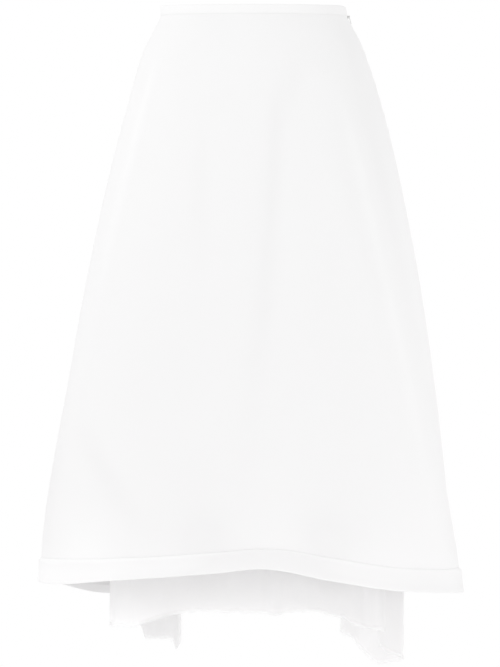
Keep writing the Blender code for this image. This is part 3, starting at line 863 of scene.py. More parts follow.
def weave_group():
    """Threads over and under each other, with slubs where a thread runs thick."""
    if "plain_weave" in bpy.data.node_groups:
        return bpy.data.node_groups["plain_weave"]
    group = new_group(
        "plain_weave",
        (
            ("Place", "NodeSocketVector", None),
            ("Pitch", "NodeSocketFloat", 0.0006),
            ("Slub", "NodeSocketFloat", 0.3),
        ),
        (("Height", "NodeSocketFloat"), ("Gap", "NodeSocketFloat"), ("Slub Mask", "NodeSocketFloat")),
    )
    source = group.nodes.new("NodeGroupInput")
    sink = group.nodes.new("NodeGroupOutput")
    split = group.nodes.new("ShaderNodeSeparateXYZ")
    group.links.new(source.outputs["Place"], split.inputs[0])
    waves = []
    for axis in (0, 1):
        count = math_node(group, "DIVIDE", split.outputs[axis], source.outputs["Pitch"])
        waves.append(math_node(group, "SINE", math_node(group, "MULTIPLY", count, math.pi)))
    crossing = math_node(group, "MULTIPLY", waves[0], waves[1])
    streaks = []
    for axis in (0, 1):
        stretch = group.nodes.new("ShaderNodeMapping")
        scale = [90.0, 90.0, 1.0]
        scale[axis] = 1900.0
        stretch.inputs["Scale"].default_value = scale
        group.links.new(source.outputs["Place"], stretch.inputs["Vector"])
        noise = group.nodes.new("ShaderNodeTexNoise")
        noise.inputs["Scale"].default_value = 1.0
        noise.inputs["Detail"].default_value = 1.0
        group.links.new(stretch.outputs[0], noise.inputs["Vector"])
        streaks.append(noise.outputs["Fac"])
    slub = math_node(group, "SUBTRACT", math_node(group, "MAXIMUM", streaks[0], streaks[1]), 0.5)
    slub_height = math_node(group, "MULTIPLY", slub, source.outputs["Slub"])
    height = math_node(group, "ADD", math_node(group, "MULTIPLY", crossing, 0.5), slub_height)
    nearness = [math_node(group, "ABSOLUTE", wave) for wave in waves]
    thick = math_node(group, "MAXIMUM", *nearness)
    gap = math_node(group, "SUBTRACT", 1.0, thick, clamp=True)
    group.links.new(height, sink.inputs["Height"])
    group.links.new(gap, sink.inputs["Gap"])
    group.links.new(slub, sink.inputs["Slub Mask"])
    return group


def mottle_group():
    """A cloudy lightening and darkening of a colour, slow and fine together."""
    if "soft_mottle" in bpy.data.node_groups:
        return bpy.data.node_groups["soft_mottle"]
    group = new_group(
        "soft_mottle",
        (
            ("Colour", "NodeSocketColor", (0.9, 0.9, 0.9, 1.0)),
            ("Shade", "NodeSocketColor", (0.85, 0.85, 0.86, 1.0)),
            ("Size", "NodeSocketFloat", 9.0),
            ("Amount", "NodeSocketFloat", 0.3),
        ),
        (("Colour", "NodeSocketColor"), ("Mask", "NodeSocketFloat")),
    )
    source = group.nodes.new("NodeGroupInput")
    sink = group.nodes.new("NodeGroupOutput")
    place = group.nodes.new("ShaderNodeTexCoord")
    noise = group.nodes.new("ShaderNodeTexNoise")
    noise.inputs["Detail"].default_value = 4.0
    noise.inputs["Roughness"].default_value = 0.6
    group.links.new(place.outputs["Object"], noise.inputs["Vector"])
    group.links.new(source.outputs["Size"], noise.inputs["Scale"])
    mask = math_node(group, "MULTIPLY", noise.outputs["Fac"], source.outputs["Amount"], clamp=True)
    mix = group.nodes.new("ShaderNodeMix")
    mix.data_type = "RGBA"
    group.links.new(mask, mix.inputs["Factor"])
    group.links.new(source.outputs["Colour"], mix.inputs["A"])
    group.links.new(source.outputs["Shade"], mix.inputs["B"])
    group.links.new(mix.outputs["Result"], sink.inputs["Colour"])
    group.links.new(mask, sink.inputs["Mask"])
    return group


def tone_group():
    """Moves a colour towards a lighter or a deeper one by a painted light-and-shade value between -1 and
    1, plus the cloth's own grain.
    """
    if "layer_tone" in bpy.data.node_groups:
        return bpy.data.node_groups["layer_tone"]
    group = new_group(
        "layer_tone",
        (
            ("Deep", "NodeSocketColor", (0.84, 0.84, 0.84, 1.0)),
            ("Light", "NodeSocketColor", (1.0, 1.0, 1.0, 1.0)),
            ("Tone", "NodeSocketFloat", 0.0),
            ("Grain", "NodeSocketFloat", 0.0),
        ),
        (("Colour", "NodeSocketColor"),),
    )
    source = group.nodes.new("NodeGroupInput")
    sink = group.nodes.new("NodeGroupOutput")
    total = math_node(group, "ADD", source.outputs["Tone"], source.outputs["Grain"])
    share = math_node(group, "ADD", math_node(group, "MULTIPLY", total, 0.5), 0.5, clamp=True)
    mix = group.nodes.new("ShaderNodeMix")
    mix.data_type = "RGBA"
    group.links.new(share, mix.inputs["Factor"])
    group.links.new(source.outputs["Deep"], mix.inputs["A"])
    group.links.new(source.outputs["Light"], mix.inputs["B"])
    group.links.new(mix.outputs["Result"], sink.inputs["Colour"])
    return group


def placed_group(tree, group, **values):
    node = tree.nodes.new("ShaderNodeGroup")
    node.node_tree = group
    for label, value in values.items():
        node.inputs[label.replace("_", " ")].default_value = value
    return node


def darker(colour, share):
    return tuple(min(1.0, channel * share) for channel in colour) + (1.0,)


def cloth_material(name, colour, pitch, slub, bump, roughness, sheen, mottle, grain, through):
    """A woven white cloth: weave and slubs as bump, painted light and shade read from a mesh attribute,
    painted shade in the weave's gaps, and a faint cloudy tone.
    """
    if name in bpy.data.materials:
        return bpy.data.materials[name]
    material = bpy.data.materials.new(name)
    material.use_nodes = True
    tree = material.node_tree
    shader = tree.nodes["Principled BSDF"]
    shader.inputs["Roughness"].default_value = roughness
    shader.inputs["Sheen Weight"].default_value = sheen
    shader.inputs["Sheen Roughness"].default_value = 0.6
    shader.inputs["Specular IOR Level"].default_value = 0.25
    shader.inputs["Subsurface Weight"].default_value = through
    shader.inputs["Subsurface Radius"].default_value = (1.0, 1.0, 1.0)
    shader.inputs["Subsurface Scale"].default_value = 0.003
    place = tree.nodes.new("ShaderNodeUVMap")
    place.uv_map = "cloth_metres"
    weave = placed_group(tree, weave_group(), Pitch=pitch, Slub=slub)
    tree.links.new(place.outputs["UV"], weave.inputs["Place"])
    # Painted light and shade: the mesh attribute read here moves the colour between a shaded copy and a
    # lit copy of it; the slubs add the thread's own grain.
    tone = tree.nodes.new("ShaderNodeAttribute")
    tone.attribute_name = "tone"
    painted_shading = placed_group(tree, tone_group(), Deep=darker(colour, 0.87), Light=darker(colour, 1.085))
    tree.links.new(tone.outputs["Fac"], painted_shading.inputs["Tone"])
    streak = math_node(tree, "MULTIPLY", weave.outputs["Slub Mask"], grain)
    tree.links.new(streak, painted_shading.inputs["Grain"])
    shade = darker(colour, 0.93)
    cloud = placed_group(tree, mottle_group(), Shade=shade, Size=7.0, Amount=mottle)
    tree.links.new(painted_shading.outputs["Colour"], cloud.inputs["Colour"])
    # Painted shade: the weave's gaps between the threads are painted a little darker.
    gap_shade = tree.nodes.new("ShaderNodeMix")
    gap_shade.data_type = "RGBA"
    gap_shade.inputs["B"].default_value = darker(colour, 0.955)
    tree.links.new(weave.outputs["Gap"], gap_shade.inputs["Factor"])
    tree.links.new(cloud.outputs["Colour"], gap_shade.inputs["A"])
    tree.links.new(gap_shade.outputs["Result"], shader.inputs["Base Color"])
    lift = tree.nodes.new("ShaderNodeBump")
    lift.inputs["Strength"].default_value = 0.35
    lift.inputs["Distance"].default_value = bump
    tree.links.new(weave.outputs["Height"], lift.inputs["Height"])
    tree.links.new(lift.outputs["Normal"], shader.inputs["Normal"])
    material.diffuse_color = (*colour, 1.0)
    return material


def skirt_material():
    finish = bpy.context.scene.skirt_finish
    return cloth_material(
        "skirt_double_weave",
        tuple(finish.skirt),
        pitch=0.0007,
        slub=0.25,
        bump=0.00012,
        roughness=0.82,
        sheen=0.08,
        mottle=0.35,
        grain=0.35,
        through=0.4,
    )


def voile_material():
    """Open white voile: a thread pattern that lets a little through, more so along the raw edge."""
    finish = bpy.context.scene.skirt_finish
    name = "underskirt_open_voile"
    if name in bpy.data.materials:
        return bpy.data.materials[name]
    material = cloth_material(
        name,
        tuple(finish.voile),
        pitch=0.0009,
        slub=1.1,
        bump=0.00025,
        roughness=0.9,
        sheen=0.05,
        mottle=0.8,
        grain=1.6,
        through=0.6,
    )
    tree = material.node_tree
    shader = tree.nodes["Principled BSDF"]
    weave = next(node for node in tree.nodes if node.type == "GROUP" and "Pitch" in node.inputs)
    edge = tree.nodes.new("ShaderNodeAttribute")
    edge.attribute_name = "raw_edge"
    away = math_node(tree, "DIVIDE", edge.outputs["Fac"], LOOSE_EDGE)
    near = math_node(tree, "SUBTRACT", 1.0, away, clamp=True)
    opened = math_node(tree, "MULTIPLY", near, math_node(tree, "ADD", weave.outputs["Gap"], 0.25))
    thin = math_node(tree, "ADD", math_node(tree, "MULTIPLY", weave.outputs["Gap"], 0.35), opened)
    alpha = math_node(tree, "SUBTRACT", 0.97, thin, clamp=True)
    facing = tree.nodes.new("ShaderNodeNewGeometry")
    near_face = math_node(tree, "SUBTRACT", 1.0, facing.outputs["Backfacing"])
    tree.links.new(math_node(tree, "MULTIPLY", alpha, near_face), shader.inputs["Alpha"])
    return material


def thread_material():
    finish = bpy.context.scene.skirt_finish
    name = "loose_thread"
    if name in bpy.data.materials:
        return bpy.data.materials[name]
    material = bpy.data.materials.new(name)
    material.use_nodes = True
    tree = material.node_tree
    shader = tree.nodes["Principled BSDF"]
    shader.inputs["Roughness"].default_value = 0.85
    shader.inputs["Sheen Weight"].default_value = 0.1
    colour = tuple(finish.voile)
    cloud = placed_group(
        tree, mottle_group(), Colour=(*colour, 1.0), Shade=darker(colour, 0.88), Size=160.0, Amount=0.9
    )
    tree.links.new(cloud.outputs["Colour"], shader.inputs["Base Color"])
    return material


def metal_material():
    """Satin nickel with fine rubbed scratches."""
    finish = bpy.context.scene.skirt_finish
    name = "satin_nickel"
    if name in bpy.data.materials:
        return bpy.data.materials[name]
    material = bpy.data.materials.new(name)
    material.use_nodes = True
    tree = material.node_tree
    shader = tree.nodes["Principled BSDF"]
    shader.inputs["Metallic"].default_value = 1.0
    colour = tuple(finish.metal)
    cloud = placed_group(
        tree, mottle_group(), Colour=(*colour, 1.0), Shade=darker(colour, 0.8), Size=900.0, Amount=0.8
    )
    tree.links.new(cloud.outputs["Colour"], shader.inputs["Base Color"])
    place = tree.nodes.new("ShaderNodeTexCoord")
    stretch = tree.nodes.new("ShaderNodeMapping")
    stretch.inputs["Scale"].default_value = (9000.0, 9000.0, 700.0)
    tree.links.new(place.outputs["Object"], stretch.inputs["Vector"])
    scratch = tree.nodes.new("ShaderNodeTexNoise")
    scratch.inputs["Scale"].default_value = 1.0
    scratch.inputs["Detail"].default_value = 3.0
    tree.links.new(stretch.outputs[0], scratch.inputs["Vector"])
    rough = math_node(tree, "ADD", math_node(tree, "MULTIPLY", scratch.outputs["Fac"], 0.22), 0.2)
    tree.links.new(rough, shader.inputs["Roughness"])
    lift = tree.nodes.new("ShaderNodeBump")
    lift.inputs["Strength"].default_value = 0.2
    lift.inputs["Distance"].default_value = 0.00002
    tree.links.new(scratch.outputs["Fac"], lift.inputs["Height"])
    tree.links.new(lift.outputs["Normal"], shader.inputs["Normal"])
    return material


def tape_material():
    finish = bpy.context.scene.skirt_finish
    return cloth_material(
        "zip_tape_twill",
        tuple(finish.skirt),
        pitch=0.0008,
        slub=0.1,
        bump=0.0002,
        roughness=0.75,
        sheen=0.1,
        mottle=0.2,
        grain=0.2,
        through=0.0,
    )


def skirt_surface():
    cut = bpy.context.scene.skirt_cut
    return Surface(SKIRT_SECTIONS, SKIRT_FOLDS + SKIRT_CREASES, skirt_relief(cut))


def band_surface():
    cut = bpy.context.scene.skirt_cut
    return Surface(SKIRT_SECTIONS, SKIRT_FOLDS, band_relief(cut))


def voile_surface():
    cut = bpy.context.scene.underskirt_cut
    return Surface(UNDERSKIRT_SECTIONS, UNDERSKIRT_FOLDS + UNDERSKIRT_CREASES, voile_relief(cut))


def panel_tone(turn, drop):
    """The listed painted light and shade, over a painted shade that darkens the cloth from the waist
    down.
    """
    return tone_from(SKIRT_PAINTED_SHADES)(turn, drop) + 0.45 - 0.80 * ramp(drop / 0.75)


class SKIRT_OT_shell(bpy.types.Operator):
    """Builds the flared skirt's front and back as one tube of cloth with its side seams"""

    bl_idname = "skirt.shell"
    bl_label = "Skirt panels"

    def execute(self, context):
        cut = context.scene.skirt_cut
        turns = turns_with_seams(-90.0, 269.99, 1.8, (-90.0, ZIP_SEAM, 269.999))
        top = waist_top(turns) + cut.waistband_height - 2.5 * MM
        bottom = skirt_hem(turns) - 0.2 * MM
        shares = np.concatenate([np.linspace(0, 1, 130)[:-6] ** 1.15, np.linspace(0.958, 1, 12)])
        shares = np.unique(np.round(shares, 5))
        drops = top[:, None] + (bottom - top)[:, None] * shares[None, :]
        piece = wall_mesh(
            "skirt_tube",
            skirt_surface(),
            turns,
            drops,
            cut.cloth,
            skirt_material(),
            closed=True,
            tone=panel_tone,
        )
        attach(piece, BODY)
        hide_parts("front_panel", "back_panel")
        return {"FINISHED"}


class SKIRT_OT_hem_band(bpy.types.Operator):
    """Builds the doubled band that stands proud round the hem"""

    bl_idname = "skirt.hem_band"
    bl_label = "Hem band"

    def execute(self, context):
        cut = context.scene.skirt_cut
        turns = turns_with_seams(-90.0, 269.9, 0.9, ())
        scale = cut.band_height / 0.030
        profile = [Corner(c.out, c.down * scale) for c in HEM_BAND_PROFILE]
        piece = swept_mesh(
            "hem_band", band_surface(), turns, skirt_hem, profile, skirt_material(), share=band_share
        )
        # Painted light and shade on the band: a painted highlight along its top edge, painted shade at
        # its foot, where it tips under at centre front and over the right front, a little painted light
        # at the left front, and random patches of tone.
        ridge = np.array([math.exp(-(((c.down + 32.2 * MM) / (2.8 * MM)) ** 2)) for c in profile])
        foot = np.array([math.exp(-((c.down / (9.0 * MM)) ** 2)) for c in profile])
        left = np.exp(-((turn_between(turns, -42.0) / 30.0) ** 2))
        centre = np.exp(-((turn_between(turns, 2.0) / 14.0) ** 2))
        patches = 0.25 * ripple(turns, 0.0, 0.05, 61, 9)
        rightwards = ramp((turn_between(turns, 0.0) + 40.0) / 25.0)
        low = -0.26 - 0.42 * rightwards * (np.cos(np.radians(turns)) > 0)
        tone = (low + 0.30 * left - 0.95 * centre + patches)[:, None] + (ridge - 0.6 * foot)[None, :]
        give_value(piece, "tone", tone)
        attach(piece, BODY)
        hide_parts("hem_band_front", "hem_band_back")
        return {"FINISHED"}


class SKIRT_OT_waistband(bpy.types.Operator):
    """Builds the folded waistband, open over the zip"""

    bl_idname = "skirt.waistband"
    bl_label = "Waistband"

    def execute(self, context):
        cut = context.scene.skirt_cut
        turns = np.linspace(ZIP_SEAM + 0.07, ZIP_SEAM + 359.93, 241)
        scale = cut.waistband_height / 0.013
        profile = [Corner(c.out, c.down * scale) for c in WAISTBAND_PROFILE]

        def softened_top(turn):
            away = turn_between(turn, ZIP_SEAM)
            return waist_top(turn) + cut.corner_droop * np.exp(-((away / 13.0) ** 2))

        surface = Surface(SKIRT_SECTIONS, (), waistband_relief(cut))
        piece = swept_mesh(
            "waistband_strip", surface, turns, softened_top, profile, skirt_material(), closed=False
        )
        # Painted light and shade: the waistband is painted lighter at the back and the left and centre
        # front, and darker towards the right front.
        in_front = np.cos(np.radians(turns)) > 0
        tone = 0.45 - 0.9 * ramp((turn_between(turns, 30.0) + 5.0) / 45.0) * in_front
        give_value(piece, "tone", np.repeat(tone[:, None], len(profile), axis=1))
        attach(piece, BODY)
        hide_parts("waistband")
        return {"FINISHED"}


def ragged_line(turn, cut, seed):
    """How far a raw edge strays from its cutting line: small bites and one-thread steps."""
    draw = np.random.default_rng(seed)
    grid = np.linspace(-100, 280, 1521)
    fine = draw.normal(size=len(grid))
    coarse = np.convolve(draw.normal(size=len(grid)), np.ones(9) / 3, mode="same")
    stray = np.interp(turn, grid, 0.45 * fine + 0.55 * coarse)
    return cut.ragged * np.clip(stray, -1.6, 1.6)


def voile_rows(top, bottom, count=96):
    shares = 1 - (1 - np.linspace(0, 1, count)) ** 1.25
    return top[:, None] + (bottom - top)[:, None] * shares[None, :]


def front_voile_grid(cut):
    hem = edge_curve(UNDERSKIRT_FRONT_HEM)
    turns = np.linspace(-90.0, UNDERSKIRT_SEAM, 320)
    bottom = hem(turns) + ragged_line(turns, cut, 5)
    return turns, voile_rows(waist_top(turns) + UNDERSKIRT_TOP, bottom)


def back_voile_grid(cut):
    """Columns of the back, with the two tails' extra rows below the short middle."""
    zip_tail = edge_curve(UNDERSKIRT_ZIP_TAIL)
    middle = edge_curve(UNDERSKIRT_MIDDLE_BACK)
    far_tail = edge_curve(UNDERSKIRT_FAR_TAIL)
    first_step = UNDERSKIRT_MIDDLE_BACK[0].turn
    second_step = UNDERSKIRT_MIDDLE_BACK[-1].turn
    turns = np.unique(
        np.concatenate(
            [
                np.linspace(UNDERSKIRT_SEAM, first_step, 150),
                np.linspace(first_step, second_step, 110),
                np.linspace(second_step, PLAIN_SEAM, 120),
            ]
        )
    )
    in_middle = (turns > first_step + 1e-6) & (turns < second_step - 1e-6)
    base = np.where(in_middle, middle(turns), TAIL_START)
    base = base + np.where(in_middle, ragged_line(turns, cut, 6), 0.0)
    upper = voile_rows(waist_top(turns) + UNDERSKIRT_TOP, base)
    tail = np.where(turns <= first_step, zip_tail(turns), far_tail(turns)) + ragged_line(turns, cut, 7)
    shares = np.linspace(0, 1, 25)[1:]
    lower = base[:, None] + (tail - base)[:, None] * shares[None, :]
    lower[in_middle] = np.nan
    return turns, np.hstack([upper, lower])


def distance_to_raw_edge(turns, drops):
    """A function giving the distance from a place to the raw edge below it or beside it."""
    lowest = np.nanmax(drops, axis=1)

    def distance(turn, drop):
        below = np.interp(turn, turns, lowest) - drop
        beside = np.full_like(below, 1.0)
        for step in (UNDERSKIRT_MIDDLE_BACK[0].turn, UNDERSKIRT_MIDDLE_BACK[-1].turn):
            away = np.radians(np.abs(turn - step)) * 0.18
            beside = np.minimum(beside, np.where(drop > TAIL_START, away, 1.0))
        return np.minimum(np.abs(below), beside)

    return distance


class SKIRT_OT_underskirt(bpy.types.Operator):
    """Builds the voile underskirt's front and back with their raw, stepped lower edges"""

    bl_idname = "skirt.underskirt"
    bl_label = "Underskirt"

    def execute(self, context):
        cut = context.scene.underskirt_cut
        surface = voile_surface()
        grids = (
            ("front", front_voile_grid(cut), "underskirt_front"),
            ("back", back_voile_grid(cut), "underskirt_back"),
        )
        for side, (turns, drops), node in grids:
            piece = wall_mesh(
                f"underskirt_{side}_voile",
                surface,
                turns,
                drops,
                cut.cloth,
                voile_material(),
                raw_edge=distance_to_raw_edge(turns, drops),
                tone=tone_from(VOILE_PAINTED_SHADES),
            )
            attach(piece, BODY)
            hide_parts(node)
        return {"FINISHED"}


def thread_roots(cut):
    """Places along every raw edge, as turn, drop and the way the loose thread leaves the cloth."""
    roots = []
    lines = []
    for turns, drops in (front_voile_grid(cut), back_voile_grid(cut)):
        lines.append((turns, np.nanmax(drops, axis=1)))
    draw = random.Random(77)
    for turns, lowest in lines:
        turn = turns[0] + 0.3
        while turn < turns[-1] - 0.3:
            roots.append((turn, float(np.interp(turn, turns, lowest)), 0.0))
            turn += math.degrees(cut.thread_spacing * draw.uniform(0.4, 1.6) / 0.17)
    zip_tail_edge = UNDERSKIRT_ZIP_TAIL[-1]
    far_tail_edge = UNDERSKIRT_FAR_TAIL[0]
    for edge, way in ((zip_tail_edge, 1.0), (far_tail_edge, -1.0)):
        drop = TAIL_START
        while drop < edge.drop:
            roots.append((edge.turn, drop, way))
            drop += cut.thread_spacing * draw.uniform(0.5, 1.8)
    return roots


class SKIRT_OT_loose_threads(bpy.types.Operator):
    """Hangs short frayed threads from every raw edge of the underskirt"""

    bl_idname = "skirt.loose_threads"
    bl_label = "Frayed threads"

    def execute(self, context):
        cut = context.scene.underskirt_cut
        surface = voile_surface()
        draw = random.Random(91)
        roots = thread_roots(cut)
        turn = np.array([root[0] for root in roots])
        drop = np.array([root[1] for root in roots]) - 0.6 * MM
        place = surface.points(turn, drop)
        out = surface.normals(turn, drop)
        place = place - 0.5 * cut.cloth * out
        along = surface.along(turn, drop)
        steps = 5
        sides = 3
        points, faces = [], []
        for k, root in enumerate(roots):
            long_one = draw.random() < 0.08
            length = cut.thread_length * (draw.uniform(0.6, 1.0) if long_one else draw.uniform(0.12, 0.5))
            radius = draw.uniform(0.07, 0.13) * MM
            way = Vector(along[k]) * root[2] + Vector((0, 0, -1)) * (0.35 if root[2] else 1.0)
            way = way + Vector(along[k]) * draw.uniform(-0.45, 0.45)
            way = way + Vector(out[k]) * draw.uniform(-0.2, 0.35)
            way.normalize()
            curl = Vector(along[k]) * draw.uniform(-0.5, 0.5) + Vector(out[k]) * draw.uniform(-0.3, 0.3)
            at = Vector(place[k])
            first = len(points)
            for s in range(steps + 1):
                thin = radius * (1 - 0.55 * s / steps)
                across = way.cross(Vector((0.3, 0.7, 0.2))).normalized()
                third = way.cross(across)
                for side in range(sides):
                    angle = 2 * math.pi * side / sides
                    points.append(at + thin * (math.cos(angle) * across + math.sin(angle) * third))
                bend = curl + Vector((0, 0, -0.35))
                way = (way + bend * 0.28).normalized()
                at = at + way * (length / steps)
            for s in range(steps):
                for side in range(sides):
                    a = first + s * sides + side
                    b = first + s * sides + (side + 1) % sides
                    faces.append((a, b, b + sides, a + sides))
            faces.append(tuple(first + side for side in reversed(range(sides))))
            faces.append(tuple(first + steps * sides + side for side in range(sides)))
        piece = add_mesh("raw_edge_threads", points, faces, thread_material())
        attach(piece, BODY)
        return {"FINISHED"}


def seam_frame(surface, drop):
    """A frame on the zip's seam: X points out of the cloth, Y along the waist, Z up the seam."""
    place = Vector(surface.points(ZIP_SEAM, drop))
    out = Vector(surface.normals(ZIP_SEAM, drop))
    out.y = 0
    out.normalize()
    along = Vector((0, 1, 0))
    seat = Matrix((out, along, out.cross(along))).transposed().to_4x4()
    seat.translation = place
    return seat


def soft_box(name, size, centre, seat, bevel, material, segments=3):
    """A small block with rounded edges, placed in a frame."""
    half = [s / 2 for s in size]
    corners = [
        seat @ Vector((centre[0] + x * half[0], centre[1] + y * half[1], centre[2] + z * half[2]))
        for x, y, z in BLOCK_CORNERS
    ]
    made = add_mesh(name, corners, BLOCK_FACES, material, smooth=False)
    round_off = made.modifiers.new("rounded_edges", "BEVEL")
    round_off.width = bevel
    round_off.segments = segments
    made.data.shade_smooth()
    return made


def rod(name, start, end, radius, sides, material):
    """A round rod with slightly rounded ends."""
    start, end = Vector(start), Vector(end)
    way = (end - start).normalized()
    across = way.orthogonal().normalized()
    third = way.cross(across)
    rings = ((0.0, 0.7), (0.12, 1.0), (0.88, 1.0), (1.0, 0.7))
    points = []
    for share, size in rings:
        for k in range(sides):
            angle = 2 * math.pi * k / sides
            ray = math.cos(angle) * across + math.sin(angle) * third
            points.append(start.lerp(end, share) + radius * size * ray)
    faces = []
    for r in range(len(rings) - 1):
        for k in range(sides):
            a, b = r * sides + k, r * sides + (k + 1) % sides
            faces.append((a, b, b + sides, a + sides))
    faces.append(tuple(reversed(range(sides))))
    faces.append(tuple(range((len(rings) - 1) * sides, len(rings) * sides)))
    return add_mesh(name, points, faces, material)


class SKIRT_OT_zip_slider(bpy.types.Operator):
    """Builds the zip's slider with its two ears and pin at the top of the side seam"""

    bl_idname = "skirt.zip_slider"
    bl_label = "Zip slider"

    def execute(self, context):
        plain = Surface(SKIRT_SECTIONS, SKIRT_FOLDS)
        seat = seam_frame(plain, SLIDER_DROP)
        metal = metal_material()
        plate = soft_box(
            "zip_slider_plate", (1.2 * MM, 4.6 * MM, 4.4 * MM), (0.95 * MM, 0, 0), seat, 0.4 * MM, metal
        )
        parts = [plate]
        for side in (-1, 1):
            centre = (2.4 * MM, side * 1.8 * MM, 0)
            size = (2.9 * MM, 0.9 * MM, 2.0 * MM)
            parts.append(soft_box(f"zip_slider_ear_{side + 1}", size, centre, seat, 0.3 * MM, metal))
        ends = [seat @ Vector((PIN_HEIGHT, side * 2.3 * MM, 0)) for side in (-1, 1)]
        parts.append(rod("zip_slider_pin", *ends, PIN_RADIUS, 20, metal))
        for part in parts:
            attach(part, BODY)
        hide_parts("zip_slider")
        return {"FINISHED"}


class SKIRT_OT_zip_pull_tab(bpy.types.Operator):
    """Builds the pull tab, an eye round the slider's pin drawn out into a drop-shaped tab"""

    bl_idname = "skirt.zip_pull_tab"
    bl_label = "Zip pull tab"

    def execute(self, context):
        plain = Surface(SKIRT_SECTIONS, SKIRT_FOLDS)
        seat = seam_frame(plain, SLIDER_DROP)
        pin = seat @ Vector((PIN_HEIGHT, 0, 0))
        half_step = math.pi / TAB_SIDES
        half_thickness = TAB_EYE_RADIUS * math.sin(half_step)
        tip_drop = -pin.z + TAB_LENGTH * TAB_REST_SHARE
        clear = (TAB_OFF_CLOTH + half_thickness) * Vector(plain.normals(ZIP_SEAM, tip_drop))
        down = Vector(plain.points(ZIP_SEAM, tip_drop)) + clear - pin
        down.y = 0
        down.normalize()
        side = Vector((0, 1, 0))
        out = side.cross(-down)
        widths = smooth_curve([s.share for s in TAB_STATIONS], [s.half_width for s in TAB_STATIONS])
        shares = (0.08, 0.2, 0.3, 0.4, 0.5, 0.62, 0.71, 0.8, 0.86, 0.91, 0.94, 0.97, 0.99, 1.0)
        start = TAB_EYE_RADIUS * math.cos(half_step)
        points, faces, halves = [], [], []
        for sign in (-1, 1):
            rim, hole = [], []
            for k in range(TAB_SIDES):
                angle = half_step * (2 * k + 1)
                ray = math.cos(angle) * down + math.sin(angle) * out
                for ring, radius in ((rim, TAB_EYE_RADIUS), (hole, TAB_HOLE_RADIUS)):
                    points.append(pin + radius * ray + sign * TAB_STATIONS[0].half_width * side)
                    ring.append(len(points) - 1)
            strip = [(rim[0], rim[-1])]
            for share in shares:
                reach = start + share * (TAB_LENGTH - start)
                spine = pin + reach * down + sign * float(widths(share)) * side
                points.append(spine + half_thickness * out)
                points.append(spine - half_thickness * out)
                strip.append((len(points) - 2, len(points) - 1))
            halves.append((rim, hole, strip))
            for k in range(TAB_SIDES):
                n = (k + 1) % TAB_SIDES
                faces.append((rim[k], rim[n], hole[n], hole[k])[::sign])
            for (a, b), (c, d) in zip(strip, strip[1:]):
                faces.append((a, b, d, c)[::sign])
        (rim_a, hole_a, strip_a), (rim_b, hole_b, strip_b) = halves
        for k in range(TAB_SIDES):
            n = (k + 1) % TAB_SIDES
            faces.append((hole_a[k], hole_a[n], hole_b[n], hole_b[k]))
            if n:
                faces.append((rim_b[k], rim_b[n], rim_a[n], rim_a[k]))
        for (a, b), (c, d), (e, f), (g, h) in zip(strip_a, strip_a[1:], strip_b, strip_b[1:]):
            faces.append((a, c, g, e))
            faces.append((f, h, d, b))
        (a, b), (c, d) = strip_a[-1], strip_b[-1]
        faces.append((a, b, d, c))
        piece = add_mesh("zip_pull_drop", points, faces, metal_material(), smooth=False)
        tidy = bmesh.new()
        tidy.from_mesh(piece.data)
        bmesh.ops.recalc_face_normals(tidy, faces=tidy.faces)
        tidy.to_mesh(piece.data)
        tidy.free()
        round_off = piece.modifiers.new("rounded_edges", "BEVEL")
        round_off.width = 0.14 * MM
        round_off.segments = 2
        round_off.limit_method = "ANGLE"
        round_off.angle_limit = math.radians(45)
        piece.data.shade_smooth()
        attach(piece, TAB_BODY)
        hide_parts("zip_pull_tab")
        return {"FINISHED"}


class SKIRT_OT_zip_chain(bpy.types.Operator):
    """Lays the concealed zip's tape and coil along the inside of the side seam"""

    bl_idname = "skirt.zip_chain"
    bl_label = "Zip tape and coil"

    def execute(self, context):
        cut = context.scene.skirt_cut
        surface = skirt_surface()
        rows = 60
        start, end = 0.030, 0.030 + cut.zip_length
        drops = np.linspace(start, end, rows)
        tape_points, tape_faces, tape_uv = [], [], []
        half = 11 * MM
        across = np.linspace(-half, half, 9)
        for depth in (cut.cloth + 0.25 * MM, cut.cloth + 0.6 * MM):
            for drop in drops:
                turn = ZIP_SEAM + np.degrees(across / float(surface.back(drop)))
                place = surface.moved_out(turn, np.full_like(turn, drop), np.full_like(turn, -depth))
                tape_points.extend(place)
                tape_uv.extend(np.stack([across, np.full_like(across, drop)], axis=-1))
        columns = len(across)
        layer = rows * columns
        for r in range(rows - 1):
            for c in range(columns - 1):
                a = r * columns + c
                tape_faces.append((a, a + columns, a + columns + 1, a + 1))
                b = a + layer
                tape_faces.append((b + 1, b + columns + 1, b + columns, b))
        rim = [(r * columns, (r + 1) * columns) for r in range(rows - 1)]
        rim += [((rows - 1) * columns + c, (rows - 1) * columns + c + 1) for c in range(columns - 1)]
        rim += [((r + 1) * columns + columns - 1, r * columns + columns - 1) for r in range(rows - 1)]
        rim += [(c + 1, c) for c in range(columns - 1)]
        for a, b in rim:
            tape_faces.append((b, a, a + layer, b + layer))
        tape = add_mesh("zip_tape", tape_points, tape_faces, tape_material(), tape_uv)
        points, faces = [], []
        count = int(cut.zip_length / (1.35 * MM))
        for k in range(count):
            drop = start + (k + 0.5) * cut.zip_length / count
            seat = seam_frame(surface, drop)
            lean = 0.22 * (1 if k % 2 else -1)
            for x, y, z in BLOCK_CORNERS:
                local = Vector(
                    (
                        -(cut.cloth + 1.2 * MM) + x * 0.5 * MM,
                        y * 1.7 * MM * (0.8 if x > 0 else 1.0),
                        z * 0.42 * MM + lean * y * MM,
                    )
                )
                points.append(seat @ local)
            base = len(BLOCK_CORNERS) * k
            for face in BLOCK_FACES:
                faces.append(tuple(base + v for v in face))
        coil = add_mesh("zip_coil", points, faces, tape_material(), smooth=False)
        for piece in (tape, coil):
            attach(piece, BODY)
        return {"FINISHED"}


